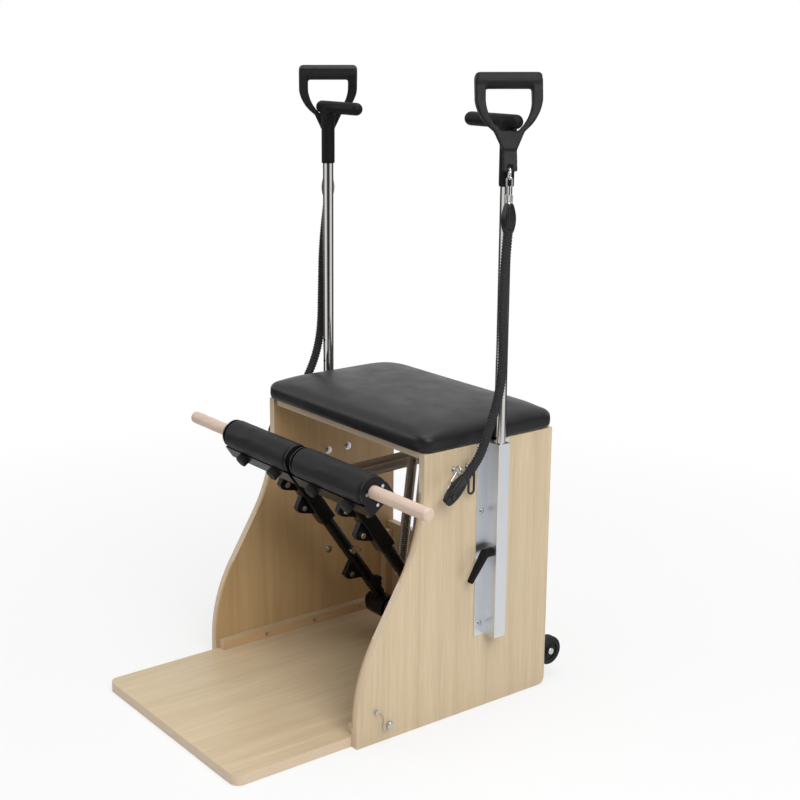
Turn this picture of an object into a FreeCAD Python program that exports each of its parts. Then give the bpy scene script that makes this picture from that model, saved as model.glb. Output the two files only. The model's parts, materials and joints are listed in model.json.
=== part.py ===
"""Pilates chair with split pedals, side posts with T-grips and hung elastic straps.

Millimetres. X runs across the chair, the front is -Y, Z is up from the floor.
The origin is on the floor, in the middle of the chair's footprint.
"""
import FreeCAD
import Part
import math
import os

V = FreeCAD.Vector

# Side panels and base
panel_height = 600.0
panel_thickness = 18.0
panel_depth = 526.0
panel_top_depth = 356.0
panel_corner_radius = 16.0
curve_radius = 350.0
curve_angle = 31.6
curve_start_height = 43.0
outer_width = 570.0
base_overhang = 281.0
base_thickness = 22.0
base_corner_radius = 22.0
board_gap = 0.5
batten_width = 20.0
batten_height = 22.0
batten_front_setback = 8.0
batten_rear_setback = 60.0
batten_screw_front = 120.0
batten_screw_rear = 60.0
batten_screw_radius = 2.4
batten_screw_head = 4.5

# Seat and back
seat_board_thickness = 15.0
seat_board_setback = 6.0
cushion_thickness = 56.0
cushion_side_overhang = 7.0
cushion_front_overhang = 8.0
cushion_rear_overhang = 5.0
cushion_corner_radius = 30.0
cushion_steps = ((0.0, 7.0), (0.14, 2.0), (0.34, 0.0), (0.56, 0.6), (0.70, 3.6), (0.80, 9.0),
                 (0.88, 18.0), (0.94, 34.0), (0.98, 66.0), (1.0, 112.0))
back_board_thickness = 18.0
back_board_top = 233.0
cleat_width = 20.0
cleat_height = 170.0

# Wheels
wheel_radius = 33.0
wheel_width = 22.0
wheel_floor_gap = 27.0
wheel_rear_gap = 5.0
wheel_axle_radius = 5.0
wheel_side_gap = 2.0
wheel_bracket_thickness = 4.0
wheel_bracket_gap = 2.0
wheel_bracket_width = 36.0
wheel_bracket_height = 48.0
wheel_ear_radius = 14.0
wheel_dish_radius = 20.5
wheel_dish_depth = 3.0
wheel_boss_radius = 11.0
wheel_rim_radius = 4.0
wheel_nut_length = 5.0
wheel_head_radius = 8.0
wheel_head_length = 4.0
running_gap = 0.05

# Pedal geometry
pivot_from_rear = 155.0
pivot_height = 95.0
pedal_radius = 542.0
pedal_lean = 35.26
axle_radius = 12.5
stand_half_width = 60.0
stand_plate = 8.0
stand_depth = 76.0
stand_cap_radius = 30.0
arm_x = 110.0
arm_offset = 10.0
hub_radius = 28.0
hub_length = 62.0
bush_radius = 16.0
bush_length = 20.0
bush_flange_radius = 20.0
bush_flange = 3.0
collar_radius = 20.0
collar_length = 9.0
arm_radius = 14.0
arm_wall = 3.0
arm_start = 32.0
sleeve_cap = 72.0
stub_end = 130.0
knob_along = 84.0
knob_radius = 18.0
knob_thickness = 16.0
knob_stud_radius = 4.0
sleeve_size = 36.0
sleeve_length = 202.0
fit_gap = 0.1
seat_gap = 0.3

# Pedal pads and trays, measured from the dowel's axis
pad_half_gap = 8.0
pad_end_gap = 5.0
tray_width = 72.0
tray_top = 8.0
tray_bottom = 40.0
tray_wall = 3.0
end_plate_thickness = 4.0
pad_crown = 34.0
pad_shoulder = 4.0
pad_draw = 2.0
pad_round_drop = 7.0
pad_end_length = 9.0
end_plate_draw = 3.0
plate_screw_places = ((23.0, -5.0), (-16.0, 8.0), (-9.0, -29.0),
                      (20.0, -30.0))
plate_screw_radius = 2.0
plate_screw_head = 3.6
plate_screw_length = 14.0
plate_screw_cap = 1.6
dowel_radius = 14.0
dowel_length = 876.0
dowel_gap = 0.3
bumper_radius = 14.0
bumper_height = 14.0
bumper_spacing = 124.0

# Spring hooks on the arms and springs
bracket_drops = (52.0, 130.0)
low_bracket = 140.0
bracket_above = 26.0
bracket_below = 34.0
bracket_bolt_in = 14.0
bracket_thickness = 14.0
bracket_reach = 46.0
bolt_radius = 4.0
pin_radius = 5.0
lower_pin = 196.0
upper_pin_drop = 89.0
spring_spread = 21.0
spring_radius = 9.7
spring_wire = 3.6
spring_turns = 24
spring_pitch = 8.4
hook_wire = 3.4
hook_gap = 0.3
bar_radius = 6.0
bar_seat_depth = 6.0
front_bar_from_rear = 225.0
front_bar_height = 548.0
rear_bar_from_rear = 35.0
rear_bar_height = 447.0

# Posts with their brackets, grips and clamp levers
post_from_rear = 172.0
post_standoff = 21.0
post_radius = 12.5
post_wall = 2.0
post_bottom = 190.0
bracket_bottom = 170.0
bracket_wall = 2.5
bracket_width = 86.0
bracket_screw_spacing = 58.0
bracket_screw_heights = (197.0, 450.0)
screw_radius = 3.5
screw_head_radius = 6.5
index_hole_radius = 4.0
index_hole_heights = (612.0, 662.0, 712.0)
grip_bottom = 1133.0
grip_bar_height = 1262.0
grip_sleeve_radius = 15.5
grip_bar_radius = 14.5
grip_inner_reach = 124.0
grip_outer_reach = 38.0
lever_height = 362.0
lever_stud_radius = 4.0
lever_hub_radius = 8.0
lever_arm_radius = 6.0
lever_drop = 54.0
lever_reach = 43.0

# Hung hand grips and their clips
hand_width = 134.0
hand_side = 21.0
hand_thickness = 11.0
hand_bar_radius = 16.0
hand_rise = 82.0
hand_seat_out = 17.5
hand_opening = 107.0
hand_opening_tip = 8.5
hand_straight = 40.0
hand_elbow = 76.0
hand_elbow_in = 13.0
hand_opening_straight = 42.0
hand_opening_elbow_in = 10.0
hand_top_thickness = 26.0
hand_taper_start = 22.0
hand_taper_end = 90.0
hand_shoulder = 101.0
hand_shoulder_width = 62.0
hand_neck_width = 30.0
hand_neck_start = 138.0
hand_length = 182.0
hand_lean = 18.0
hand_turn = 55.0
tab_thickness = 6.0
tab_eye_radius = 4.7
tab_eye_edge = 8.0
ring_radius = 11.0
ring_wire = 1.9
hook_length = 20.0
hook_width = 11.0
hook_rod = 1.6
swivel_radius = 4.6
swivel_length = 18.0
barrel_lap = 1.0
lower_eye_length = 22.0
lower_eye_width = 12.0
lower_eye_rod = 1.8
loop_length = 52.0
loop_width = 15.0
loop_rod = 2.6

# Straps, eyes and lock pins
strap_radius = 10.0
strap_gap = 0.5
right_route = [(343.6, 198.3, 1051.0), (342, 203, 988), (340, 204, 880), (339, 198, 790),
               (336, 203, 713), (331, 228, 636), (327, 248, 579), (323.5, 284, 545)]
left_route = [(-343.6, 145.7, 1051.0), (-344.5, 160, 955), (-344, 164, 835), (-341.5, 168, 735),
              (-336, 188, 668), (-331, 222, 612), (-327, 248, 579), (-323.5, 284, 545)]
strap_end_length = 44.0
strap_end_tip = 9.0
strap_end_radius = 8.0
strap_pin_radius = 2.5
strap_pin_neck = 1.6
link_length = 30.0
link_width = 13.0
link_rod = 2.0
spare_length = 52.0
spare_width = 15.0
eye_height = 556.0
eye_from_rear = (278.0, 242.0)
eye_ring_radius = 9.0
eye_wire = 2.2
lock_from_front = 83.0
lock_height = 33.0
lock_radius = 4.0
lock_head_radius = 8.0
lock_depth = 14.0
lanyard_radius = 0.9
lanyard_screw_from_front = 49.0
lanyard_screw_height = 70.0

# Places that follow from the sizes above
wheel_overhang = wheel_rear_gap + 2 * wheel_radius
front_y = -(base_overhang + panel_depth + wheel_overhang) / 2
panel_front = front_y + base_overhang
panel_rear = panel_front + panel_depth
panel_top_front = panel_rear - panel_top_depth
outer_x = outer_width / 2
inner_x = outer_x - panel_thickness
pivot_y = panel_rear - pivot_from_rear
post_y = panel_rear - post_from_rear
post_x = outer_x + post_standoff
bracket_top = panel_height
lean = math.radians(pedal_lean)
sleeve_top = pedal_radius - tray_bottom
sleeve_start = sleeve_top - sleeve_length
arm_end = sleeve_top - sleeve_cap
upper_pin = sleeve_top - upper_pin_drop
bracket_places = [sleeve_top - drop for drop in bracket_drops] + [low_bracket]
bar_places = [(panel_rear - front_bar_from_rear, front_bar_height),
              (panel_rear - rear_bar_from_rear, rear_bar_height)]
pad_inner = pad_half_gap
pad_outer = inner_x - pad_end_gap
pad_middle = (pad_inner + pad_outer) / 2

os.makedirs("parts", exist_ok=True)


def save(name, shape):
    """Write one node after a look at its solids."""
    assert shape.isValid(), name
    assert all(s.Volume > 0 for s in shape.Solids), name
    shape.exportStep("parts/" + name + ".step")


def box(x0, x1, y0, y1, z0, z1):
    low = V(min(x0, x1), min(y0, y1), min(z0, z1))
    return Part.makeBox(abs(x1 - x0), abs(y1 - y0), abs(z1 - z0), low)


def rod(start, end, radius):
    """A round bar between two points."""
    run = end - start
    return Part.makeCylinder(radius, run.Length, start, run)


def rod_x(x0, x1, y, z, radius):
    return rod(V(x0, y, z), V(x1, y, z), radius)


def rod_y(x, y0, y1, z, radius):
    return rod(V(x, y0, z), V(x, y1, z), radius)


def rod_z(x, y, z0, z1, radius):
    return rod(V(x, y, z0), V(x, y, z1), radius)


def group(shapes):
    solids = []
    for shape in shapes:
        solids += shape.Solids
    return Part.makeCompound(solids)


def mirrored(shape):
    """The left-hand copy of a right-hand piece."""
    return shape.mirror(V(0, 0, 0), V(1, 0, 0))


def both(name, shape):
    save("right_" + name, shape)
    save("left_" + name, mirrored(shape))


def in_pedal(shape):
    """Stand a piece, drawn with the pivot at the origin and the arm along +Z, in its place."""
    placed = shape.copy()
    placed.rotate(V(0, 0, 0), V(1, 0, 0), pedal_lean)
    placed.translate(V(0, pivot_y, pivot_height))
    return placed


def pedal_point(x, across, along):
    """The place of a point drawn in the pedal's own frame."""
    y = across * math.cos(lean) - along * math.sin(lean)
    z = across * math.sin(lean) + along * math.cos(lean)
    return V(x, pivot_y + y, pivot_height + z)


def placed_on(shape, origin, x_axis, z_axis):
    """Move a piece from its own frame to an origin with the given X and Z directions."""
    z_dir = V(z_axis).normalize()
    y_dir = z_dir.cross(x_axis).normalize()
    x_dir = y_dir.cross(z_dir)
    moved = shape.copy()
    turn = FreeCAD.Rotation(x_dir, y_dir, z_dir, "ZXY")
    moved.Placement = FreeCAD.Placement(origin, turn).multiply(shape.Placement)
    return moved


def rounded_rectangle(x0, x1, y0, y1, z, radius):
    """A level closed wire with round corners."""
    k = radius * (1 - math.sqrt(0.5))
    edges = [
        Part.makeLine(V(x0 + radius, y0, z), V(x1 - radius, y0, z)),
        Part.Arc(V(x1 - radius, y0, z), V(x1 - k, y0 + k, z), V(x1, y0 + radius, z)).toShape(),
        Part.makeLine(V(x1, y0 + radius, z), V(x1, y1 - radius, z)),
        Part.Arc(V(x1, y1 - radius, z), V(x1 - k, y1 - k, z), V(x1 - radius, y1, z)).toShape(),
        Part.makeLine(V(x1 - radius, y1, z), V(x0 + radius, y1, z)),
        Part.Arc(V(x0 + radius, y1, z), V(x0 + k, y1 - k, z), V(x0, y1 - radius, z)).toShape(),
        Part.makeLine(V(x0, y1 - radius, z), V(x0, y0 + radius, z)),
        Part.Arc(V(x0, y0 + radius, z), V(x0 + k, y0 + k, z), V(x0 + radius, y0, z)).toShape(),
    ]
    return Part.Wire(edges)


def stadium_loop(length, width, wire):
    """A closed oblong wire loop that hangs down from the origin in the XZ plane."""
    r = width / 2
    top = Part.Arc(V(-r, 0, -r), V(0, 0, 0), V(r, 0, -r)).toShape()
    right = Part.makeLine(V(r, 0, -r), V(r, 0, r - length))
    bottom = Part.Arc(V(r, 0, r - length), V(0, 0, -length), V(-r, 0, r - length)).toShape()
    left = Part.makeLine(V(-r, 0, r - length), V(-r, 0, -r))
    path = Part.Wire([top, right, bottom, left])
    ring = Part.Wire([Part.makeCircle(wire, V(-r, 0, -r), V(0, 0, 1))])
    return path.makePipeShell([ring], True, False)


def biarc(p0, t0, p1, t1):
    """Two tangent arcs from one point and direction to another."""
    v = p1 - p0
    t = t0 + t1
    a = 2 * (1 - t0.dot(t1))
    d = (-v.dot(t) + math.sqrt(v.dot(t) ** 2 + a * v.dot(v))) / a
    joint = (p0 + p1 + (t0 - t1) * d) * 0.5
    return [tangent_arc(p0, t0, joint), tangent_arc(p1, t1 * -1, joint, True)]


def tangent_arc(start, tangent, end, backwards=False):
    """An arc that leaves start along tangent and ends at end."""
    chord = end - start
    unit = V(chord).normalize()
    side = (tangent - unit * tangent.dot(unit)).normalize()
    half = math.acos(max(-1.0, min(1.0, tangent.dot(unit))))
    middle = (start + end) * 0.5 + side * (chord.Length / 2 * math.tan(half / 2))
    if backwards:
        return Part.Arc(end, middle, start).toShape()
    return Part.Arc(start, middle, end).toShape()


def coil():
    """One spring's winding about Z from 0 upwards, with straight ends one wire long."""
    climb = spring_pitch / (2 * math.pi)
    speed = math.hypot(spring_radius, climb)

    def point(turn):
        a = 2 * math.pi * turn
        return V(spring_radius * math.cos(a), spring_radius * math.sin(a), spring_pitch * turn)

    def direction(turn):
        a = 2 * math.pi * turn
        return V(-spring_radius * math.sin(a), spring_radius * math.cos(a), climb) * (1 / speed)

    edges = [Part.makeLine(point(0) - direction(0) * spring_wire, point(0))]
    for i in range(2 * spring_turns):
        a = i / 2
        b = a + 0.5
        edges += biarc(point(a), direction(a), point(b), direction(b))
    last = spring_turns
    edges.append(Part.makeLine(point(last), point(last) + direction(last) * spring_wire))
    path = Part.Wire(edges)
    start = point(0) - direction(0) * spring_wire
    ring = Part.Wire([Part.makeCircle(spring_wire / 2, start, direction(0))])
    solid = path.makePipeShell([ring], True, False)
    samples = [point(i / 24) for i in range(48)]
    gap = min((p - q).Length for i, p in enumerate(samples) for q in samples[i + 12:]) - spring_wire
    print("spring: least gap between turns", round(gap, 2), "mm")
    return solid


def spring(start, end, start_pin, end_pin):
    """A wound spring with a hook over a bar at each end: the hooks go round X-wise bars."""
    run = end - start
    winding = spring_pitch * spring_turns
    lead = (run.Length - winding) / 2
    axis = V(run).normalize()
    wound = placed_on(coil(), start + axis * lead, V(1, 0, 0), axis)
    pieces = [wound]
    plug_radius = spring_radius - spring_wire / 2 - hook_gap
    for place, towards, pin in ((start, axis, start_pin), (end, axis * -1, end_pin)):
        ring_middle = pin + hook_gap + hook_wire / 2
        eye = Part.makeTorus(ring_middle, hook_wire / 2, place, V(1, 0, 0))
        stem = rod(place + towards * (ring_middle + hook_wire / 4), place + towards * lead, hook_wire / 2)
        plug = rod(place + towards * (lead - 2), place + towards * (lead + 14), plug_radius)
        pieces.append(eye.fuse(stem).fuse(plug).removeSplitter())
    return pieces


def cord_tube(points, radius, name):
    """A round cord along straight runs joined by arcs as large as the runs allow."""
    edges = []
    radii = []
    last = points[0]
    for i in range(1, len(points) - 1):
        before = points[i - 1] - points[i]
        after = points[i + 1] - points[i]
        shorter = min(before.Length, after.Length)
        into = V(before).normalize()
        out = V(after).normalize()
        turn = math.pi - into.getAngle(out)
        cut = 0.45 * shorter
        bend = cut / math.tan(turn / 2)
        radii.append(round(bend))
        a = points[i] + into * cut
        b = points[i] + out * cut
        inwards = (into + out).normalize()
        middle = points[i] + inwards * (math.hypot(bend, cut) - bend)
        edges.append(Part.makeLine(last, a))
        edges.append(Part.Arc(a, middle, b).toShape())
        last = b
    edges.append(Part.makeLine(last, points[-1]))
    path = Part.Wire(edges)
    ring = Part.Wire([Part.makeCircle(radius, points[0], points[1] - points[0])])
    solid = path.makePipeShell([ring], True, False)
    length = sum(e.Length for e in edges)
    share = solid.Volume / (math.pi * radius ** 2 * length)
    print(name, "bend radii", radii, "length", round(length), "volume share", round(share, 3))
    return solid


def side_panel():
    """The right side: an S-curved front edge made of two arcs and a slope."""
    angle = math.radians(curve_angle)
    rise = curve_radius * math.sin(angle)
    bulge = curve_radius * (1 - math.cos(angle))
    slope = (panel_depth - panel_top_depth - 2 * bulge) / math.sin(angle)
    half = angle / 2
    y0 = panel_front
    z0 = curve_start_height
    low_start = V(inner_x, y0, z0)
    low_middle = V(inner_x, y0 + curve_radius * (1 - math.cos(half)), z0 + curve_radius * math.sin(half))
    low_end = V(inner_x, y0 + bulge, z0 + rise)
    high_start = low_end + V(0, slope * math.sin(angle), slope * math.cos(angle))
    high_end = high_start + V(0, bulge, rise)
    high_middle = high_end + V(0, -curve_radius * (1 - math.cos(half)), -curve_radius * math.sin(half))
    r = panel_corner_radius
    k = r * (1 - math.sqrt(0.5))
    top = panel_height
    edges = [
        Part.makeLine(V(inner_x, y0, 0), low_start),
        Part.Arc(low_start, low_middle, low_end).toShape(),
        Part.makeLine(low_end, high_start),
        Part.Arc(high_start, high_middle, high_end).toShape(),
        Part.makeLine(high_end, V(inner_x, panel_top_front, top)),
        Part.makeLine(V(inner_x, panel_top_front, top), V(inner_x, panel_rear, top)),
        Part.makeLine(V(inner_x, panel_rear, top), V(inner_x, panel_rear, r)),
        Part.Arc(V(inner_x, panel_rear, r), V(inner_x, panel_rear - k, k),
                 V(inner_x, panel_rear - r, 0)).toShape(),
        Part.makeLine(V(inner_x, panel_rear - r, 0), V(inner_x, y0, 0)),
    ]
    body = Part.Face(Part.Wire(edges)).extrude(V(panel_thickness, 0, 0))
    cuts = []
    for y, height in bar_places:
        cuts.append(rod_x(inner_x - 1, inner_x + bar_seat_depth + running_gap, y, height,
                          bar_radius + running_gap))
    for y, z in bracket_screw_places():
        cuts.append(rod_x(inner_x - 1, outer_x + 1, y, z, screw_radius + running_gap))
    for from_rear in eye_from_rear:
        cuts.append(rod_x(outer_x - 12, outer_x + 1, panel_rear - from_rear, eye_height, 3 + running_gap))
    cuts.append(rod_x(inner_x - 1, outer_x + 1, panel_front + lock_from_front, lock_height,
                      lock_radius + running_gap))
    cuts.append(rod_x(outer_x - 12, outer_x + 1, panel_front + lanyard_screw_from_front,
                      lanyard_screw_height, 2.5 + running_gap))
    return body.cut(cuts)


def bracket_screw_places():
    half = bracket_screw_spacing / 2
    return [(post_y + side * half, z) for side in (-1, 1) for z in bracket_screw_heights]


def base_board():
    x = inner_x - board_gap
    y1 = panel_rear
    r = base_corner_radius
    k = r * (1 - math.sqrt(0.5))
    edges = [
        Part.makeLine(V(-x, y1, 0), V(-x, front_y + r, 0)),
        Part.Arc(V(-x, front_y + r, 0), V(-x + k, front_y + k, 0), V(-x + r, front_y, 0)).toShape(),
        Part.makeLine(V(-x + r, front_y, 0), V(x - r, front_y, 0)),
        Part.Arc(V(x - r, front_y, 0), V(x - k, front_y + k, 0), V(x, front_y + r, 0)).toShape(),
        Part.makeLine(V(x, front_y + r, 0), V(x, y1, 0)),
        Part.makeLine(V(x, y1, 0), V(-x, y1, 0)),
    ]
    return Part.Face(Part.Wire(edges)).extrude(V(0, 0, base_thickness))


def batten():
    x1 = inner_x - board_gap
    block = box(x1 - batten_width, x1, panel_front + batten_front_setback, panel_rear - batten_rear_setback,
                base_thickness, base_thickness + batten_height)
    hole = rod_x(x1 - lock_depth - running_gap, x1 + 1, panel_front + lock_from_front, lock_height,
                 lock_radius + running_gap)
    for y in batten_screw_places():
        hole = hole.fuse(rod_x(x1 - batten_width - 1, x1 + 1, y, base_thickness + batten_height / 2,
                               batten_screw_radius + fit_gap))
    return block.cut(hole)


def batten_screw_places():
    first = panel_front + batten_front_setback + batten_screw_front
    last = panel_rear - batten_rear_setback - batten_screw_rear
    return [first, (first + last) / 2, last]


def frame_screws():
    """Pan-head screws through the battens and one for each lanyard."""
    screws = []
    x1 = inner_x - board_gap
    z = base_thickness + batten_height / 2
    for y in batten_screw_places():
        shank = rod_x(x1 - batten_width, x1, y, z, batten_screw_radius)
        screws.append(shank.fuse(rod_x(x1 - batten_width - 2, x1 - batten_width, y, z, batten_screw_head)))
    y = panel_front + lanyard_screw_from_front
    shank = rod_x(outer_x - 12, outer_x + 3, y, lanyard_screw_height, 2.5)
    screws.append(shank.fuse(rod_x(outer_x + 3, outer_x + 6, y, lanyard_screw_height, 5.5)))
    return group(screws + [mirrored(s) for s in screws])


def seat_cushion():
    """A padded top with drawn-in sides and a low crown."""
    x = outer_x + cushion_side_overhang
    y0 = panel_top_front - cushion_front_overhang
    y1 = panel_rear + cushion_rear_overhang
    t = cushion_thickness
    wires = []
    for share, inset in cushion_steps:
        radius = cushion_corner_radius - min(inset, 8) * 0.5
        wires.append(rounded_rectangle(-x + inset, x - inset, y0 + inset, y1 - inset,
                                       panel_height + share * t, radius))
    return Part.makeLoft(wires, True, True)


def back_cleat():
    x1 = inner_x
    y1 = panel_rear - back_board_thickness
    z0 = base_thickness + batten_height + seat_gap
    return box(x1 - cleat_width, x1, y1 - cleat_width, y1, z0, z0 + cleat_height)


def wheel():
    x1 = inner_x - wheel_side_gap
    x0 = x1 - wheel_width
    y = panel_rear + wheel_rear_gap + wheel_radius
    z = wheel_floor_gap + wheel_radius
    tyre = rod_x(x0, x1, y, z, wheel_radius)
    rims = [e for e in tyre.Edges if e.Length > wheel_radius * 6]
    tyre = tyre.makeFillet(wheel_rim_radius, rims)
    dish = rod_x(x1 - wheel_dish_depth, x1 + 1, y, z, wheel_dish_radius)
    dish = dish.cut(rod_x(x1 - wheel_dish_depth - 1, x1 + 2, y, z, wheel_boss_radius))
    bore = rod_x(x0 - 1, x1 + 1, y, z, wheel_axle_radius + running_gap)
    return tyre.cut(dish).cut(bore)


def wheel_axle():
    x1 = inner_x - wheel_side_gap
    x0 = x1 - wheel_width
    y = panel_rear + wheel_rear_gap + wheel_radius
    z = wheel_floor_gap + wheel_radius
    back = x0 - wheel_bracket_gap - wheel_bracket_thickness
    pin = rod_x(back, x1 + seat_gap, y, z, wheel_axle_radius)
    head = rod_x(x1 + seat_gap, x1 + seat_gap + wheel_head_length, y, z, wheel_head_radius)
    head = head.makeFillet(2.5, [e for e in head.Edges if abs(e.BoundBox.XMin - head.BoundBox.XMax) < 0.01])
    nut = rod_x(back - wheel_nut_length, back, y, z, wheel_head_radius)
    return pin.fuse(head).fuse(nut)


def wheel_bracket():
    x1 = inner_x - wheel_side_gap - wheel_width - wheel_bracket_gap
    t = wheel_bracket_thickness
    y = panel_rear + wheel_rear_gap + wheel_radius
    z = wheel_floor_gap + wheel_radius
    half = wheel_bracket_height / 2
    r = wheel_ear_radius
    plate = box(x1 - wheel_bracket_width, x1, panel_rear, panel_rear + t, z - half, z + half)
    ear = box(x1 - t, x1, panel_rear, y, z - r, z + r).fuse(rod_x(x1 - t, x1, y, z, r))
    body = plate.fuse(ear).removeSplitter()
    return body.cut(rod_x(x1 - t - 1, x1 + 1, y, z, wheel_axle_radius + running_gap))


def pivot_axle():
    x = arm_x + hub_length / 2 + bush_flange + seat_gap + collar_length
    return rod_x(-x, x, pivot_y, pivot_height, axle_radius)


def pivot_stand():
    """A steel stand on the base board whose two cheeks carry the axle between the hubs."""
    half = stand_half_width
    y0 = pivot_y - stand_depth / 2
    y1 = pivot_y + stand_depth / 2
    foot = box(-half, half, y0, y1, base_thickness, base_thickness + stand_plate)
    body = foot
    for side in (-1, 1):
        x0 = side * half
        x1 = side * (half - stand_plate)
        cheek = box(x0, x1, pivot_y - stand_cap_radius, pivot_y + stand_cap_radius,
                    base_thickness, pivot_height)
        body = body.fuse(cheek).fuse(rod_x(x0, x1, pivot_y, pivot_height, stand_cap_radius))
    body = body.removeSplitter()
    return body.cut(rod_x(-half - 1, half + 1, pivot_y, pivot_height, axle_radius + running_gap))


def shaft_collars():
    """Clamping rings on both sides of each hub that keep the hubs in their places on the axle."""
    rings = []
    half = hub_length / 2 + bush_flange + seat_gap
    for side in (-1, 1):
        for end in (-1, 1):
            a = side * arm_x + end * half
            ring = rod_x(a, a + end * collar_length, pivot_y, pivot_height, collar_radius)
            rings.append(ring.cut(rod_x(a - end, a + end * (collar_length + 1), pivot_y, pivot_height,
                                        axle_radius + running_gap)))
    return group(rings)


def spring_bars():
    bars = []
    x = inner_x + bar_seat_depth
    for y, height in bar_places:
        bars.append(rod_x(-x, x, y, height, bar_radius))
    return group(bars)


def pivot_hub():
    half = hub_length / 2
    barrel = rod_x(arm_x - half, arm_x + half, 0, 0, hub_radius)
    stub = rod_z(arm_x, arm_offset, 0, stub_end, arm_radius - arm_wall - fit_gap)
    body = barrel.fuse(stub).removeSplitter()
    body = body.cut(rod_x(arm_x - half - 1, arm_x + half + 1, 0, 0, axle_radius + 2))
    for end in (-1, 1):
        a = arm_x + end * half
        body = body.cut(rod_x(a + end, a - end * bush_length, 0, 0, bush_radius + running_gap))
    return in_pedal(body)


def hub_bushes():
    bushes = []
    for end in (-1, 1):
        a = arm_x + end * hub_length / 2
        bush = rod_x(a - end * bush_length, a, 0, 0, bush_radius)
        bush = bush.fuse(rod_x(a, a + end * bush_flange, 0, 0, bush_flange_radius)).removeSplitter()
        bushes.append(bush.cut(rod_x(a - 40, a + 40, 0, 0, axle_radius + running_gap)))
    return in_pedal(group(bushes))


def arm_tube():
    tube = rod_z(arm_x, arm_offset, arm_start, arm_end, arm_radius)
    tube = tube.cut(rod_z(arm_x, arm_offset, arm_start - 1, arm_end + 1, arm_radius - arm_wall))
    past = arm_radius + 6
    holes = [rod_x(arm_x - past, arm_x + past, arm_offset, z, pin_radius + running_gap)
             for z in (lower_pin, upper_pin)]
    holes.append(rod_x(arm_x - past, arm_x, arm_offset, knob_along, knob_stud_radius + running_gap))
    return in_pedal(tube.cut(holes))


def arm_sleeve():
    half = sleeve_size / 2
    tube = box(arm_x - half, arm_x + half, arm_offset - half, arm_offset + half, sleeve_start, sleeve_top)
    tube = tube.makeFillet(5, [e for e in tube.Edges if e.Length > sleeve_size + 1])
    tube = tube.cut(rod_z(arm_x, arm_offset, sleeve_start - 1, arm_end + seat_gap,
                          arm_radius + running_gap))
    hole = rod_x(arm_x - sleeve_size, arm_x + sleeve_size, arm_offset, upper_pin, pin_radius + running_gap)
    return in_pedal(tube.cut(hole))


def hook_brackets():
    """Wedge-shaped lugs on the front of the arm, with a slot at the tip."""
    wedges = []
    for place in bracket_places:
        on_sleeve = place > sleeve_start
        root = arm_offset - (sleeve_size / 2 if on_sleeve else arm_radius - 4)
        tip = arm_offset - bracket_reach
        corners = [V(0, root, place + bracket_above), V(0, root, place - bracket_below),
                   V(0, tip + 6, place - 10), V(0, tip, place - 2), V(0, tip, place + 10),
                   V(0, root, place + bracket_above)]
        face = Part.Face(Part.makePolygon(corners))
        wedge = face.extrude(V(bracket_thickness, 0, 0))
        wedge.translate(V(arm_x - bracket_thickness / 2, 0, 0))
        if not on_sleeve:
            wedge = wedge.cut(rod_z(arm_x, arm_offset, place - 60, place + 60, arm_radius))
        bolt = rod_x(arm_x - bracket_thickness, arm_x + bracket_thickness, tip + bracket_bolt_in, place,
                     bolt_radius + running_gap)
        wedges.append(wedge.cut(bolt))
    return in_pedal(group(wedges))


def pedal_bolts():
    """The lugs' cross bolts, the two spring pins and the end plates' screws."""
    solids = []
    tip = arm_offset - bracket_reach
    for place in bracket_places:
        half = bracket_thickness / 2
        across = tip + bracket_bolt_in
        bolt = rod_x(arm_x - half - 6, arm_x + half + 6, across, place, bolt_radius)
        for end in (-1, 1):
            bolt = bolt.fuse(rod_x(arm_x + end * half, arm_x + end * (half + 5), across, place,
                                   bolt_radius + 2.5))
        solids.append(bolt)
    for place in (lower_pin, upper_pin):
        half = spring_spread + hook_wire / 2 + seat_gap
        pin = rod_x(arm_x - half - 4, arm_x + half + 4, arm_offset, place, pin_radius)
        for end in (-1, 1):
            pin = pin.fuse(rod_x(arm_x + end * half, arm_x + end * (half + 4), arm_offset, place,
                                 pin_radius + 2.5))
        solids.append(pin)
    for x, outwards in ((pad_inner, -1), (pad_outer, 1)):
        for across, up in plate_screw_places:
            z = pedal_radius + up
            shank = rod_x(x - outwards * plate_screw_length, x, across, z, plate_screw_radius)
            solids.append(shank.fuse(rod_x(x, x + outwards * plate_screw_cap, across, z, plate_screw_head)))
    return in_pedal(group(solids))


def pad_outline(x, grow):
    """The D-shaped section of a pad: flat below, drawn-in sides, round on top."""
    half = tray_width / 2 + grow
    low = pedal_radius - tray_top
    top = pedal_radius + pad_crown + grow
    shoulder = pedal_radius + pad_shoulder
    waist = (low + shoulder) / 2
    foot = half - pad_draw
    bend = half - pad_draw / 2
    round_y = half * 0.66
    round_z = top - pad_round_drop
    edges = [
        Part.makeLine(V(x, -foot, low), V(x, foot, low)),
        Part.Arc(V(x, foot, low), V(x, half, waist), V(x, bend, shoulder)).toShape(),
        Part.Arc(V(x, bend, shoulder), V(x, round_y, round_z), V(x, 0, top)).toShape(),
        Part.Arc(V(x, 0, top), V(x, -round_y, round_z), V(x, -bend, shoulder)).toShape(),
        Part.Arc(V(x, -bend, shoulder), V(x, -half, waist), V(x, -foot, low)).toShape(),
    ]
    return Part.Wire(edges)


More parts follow.
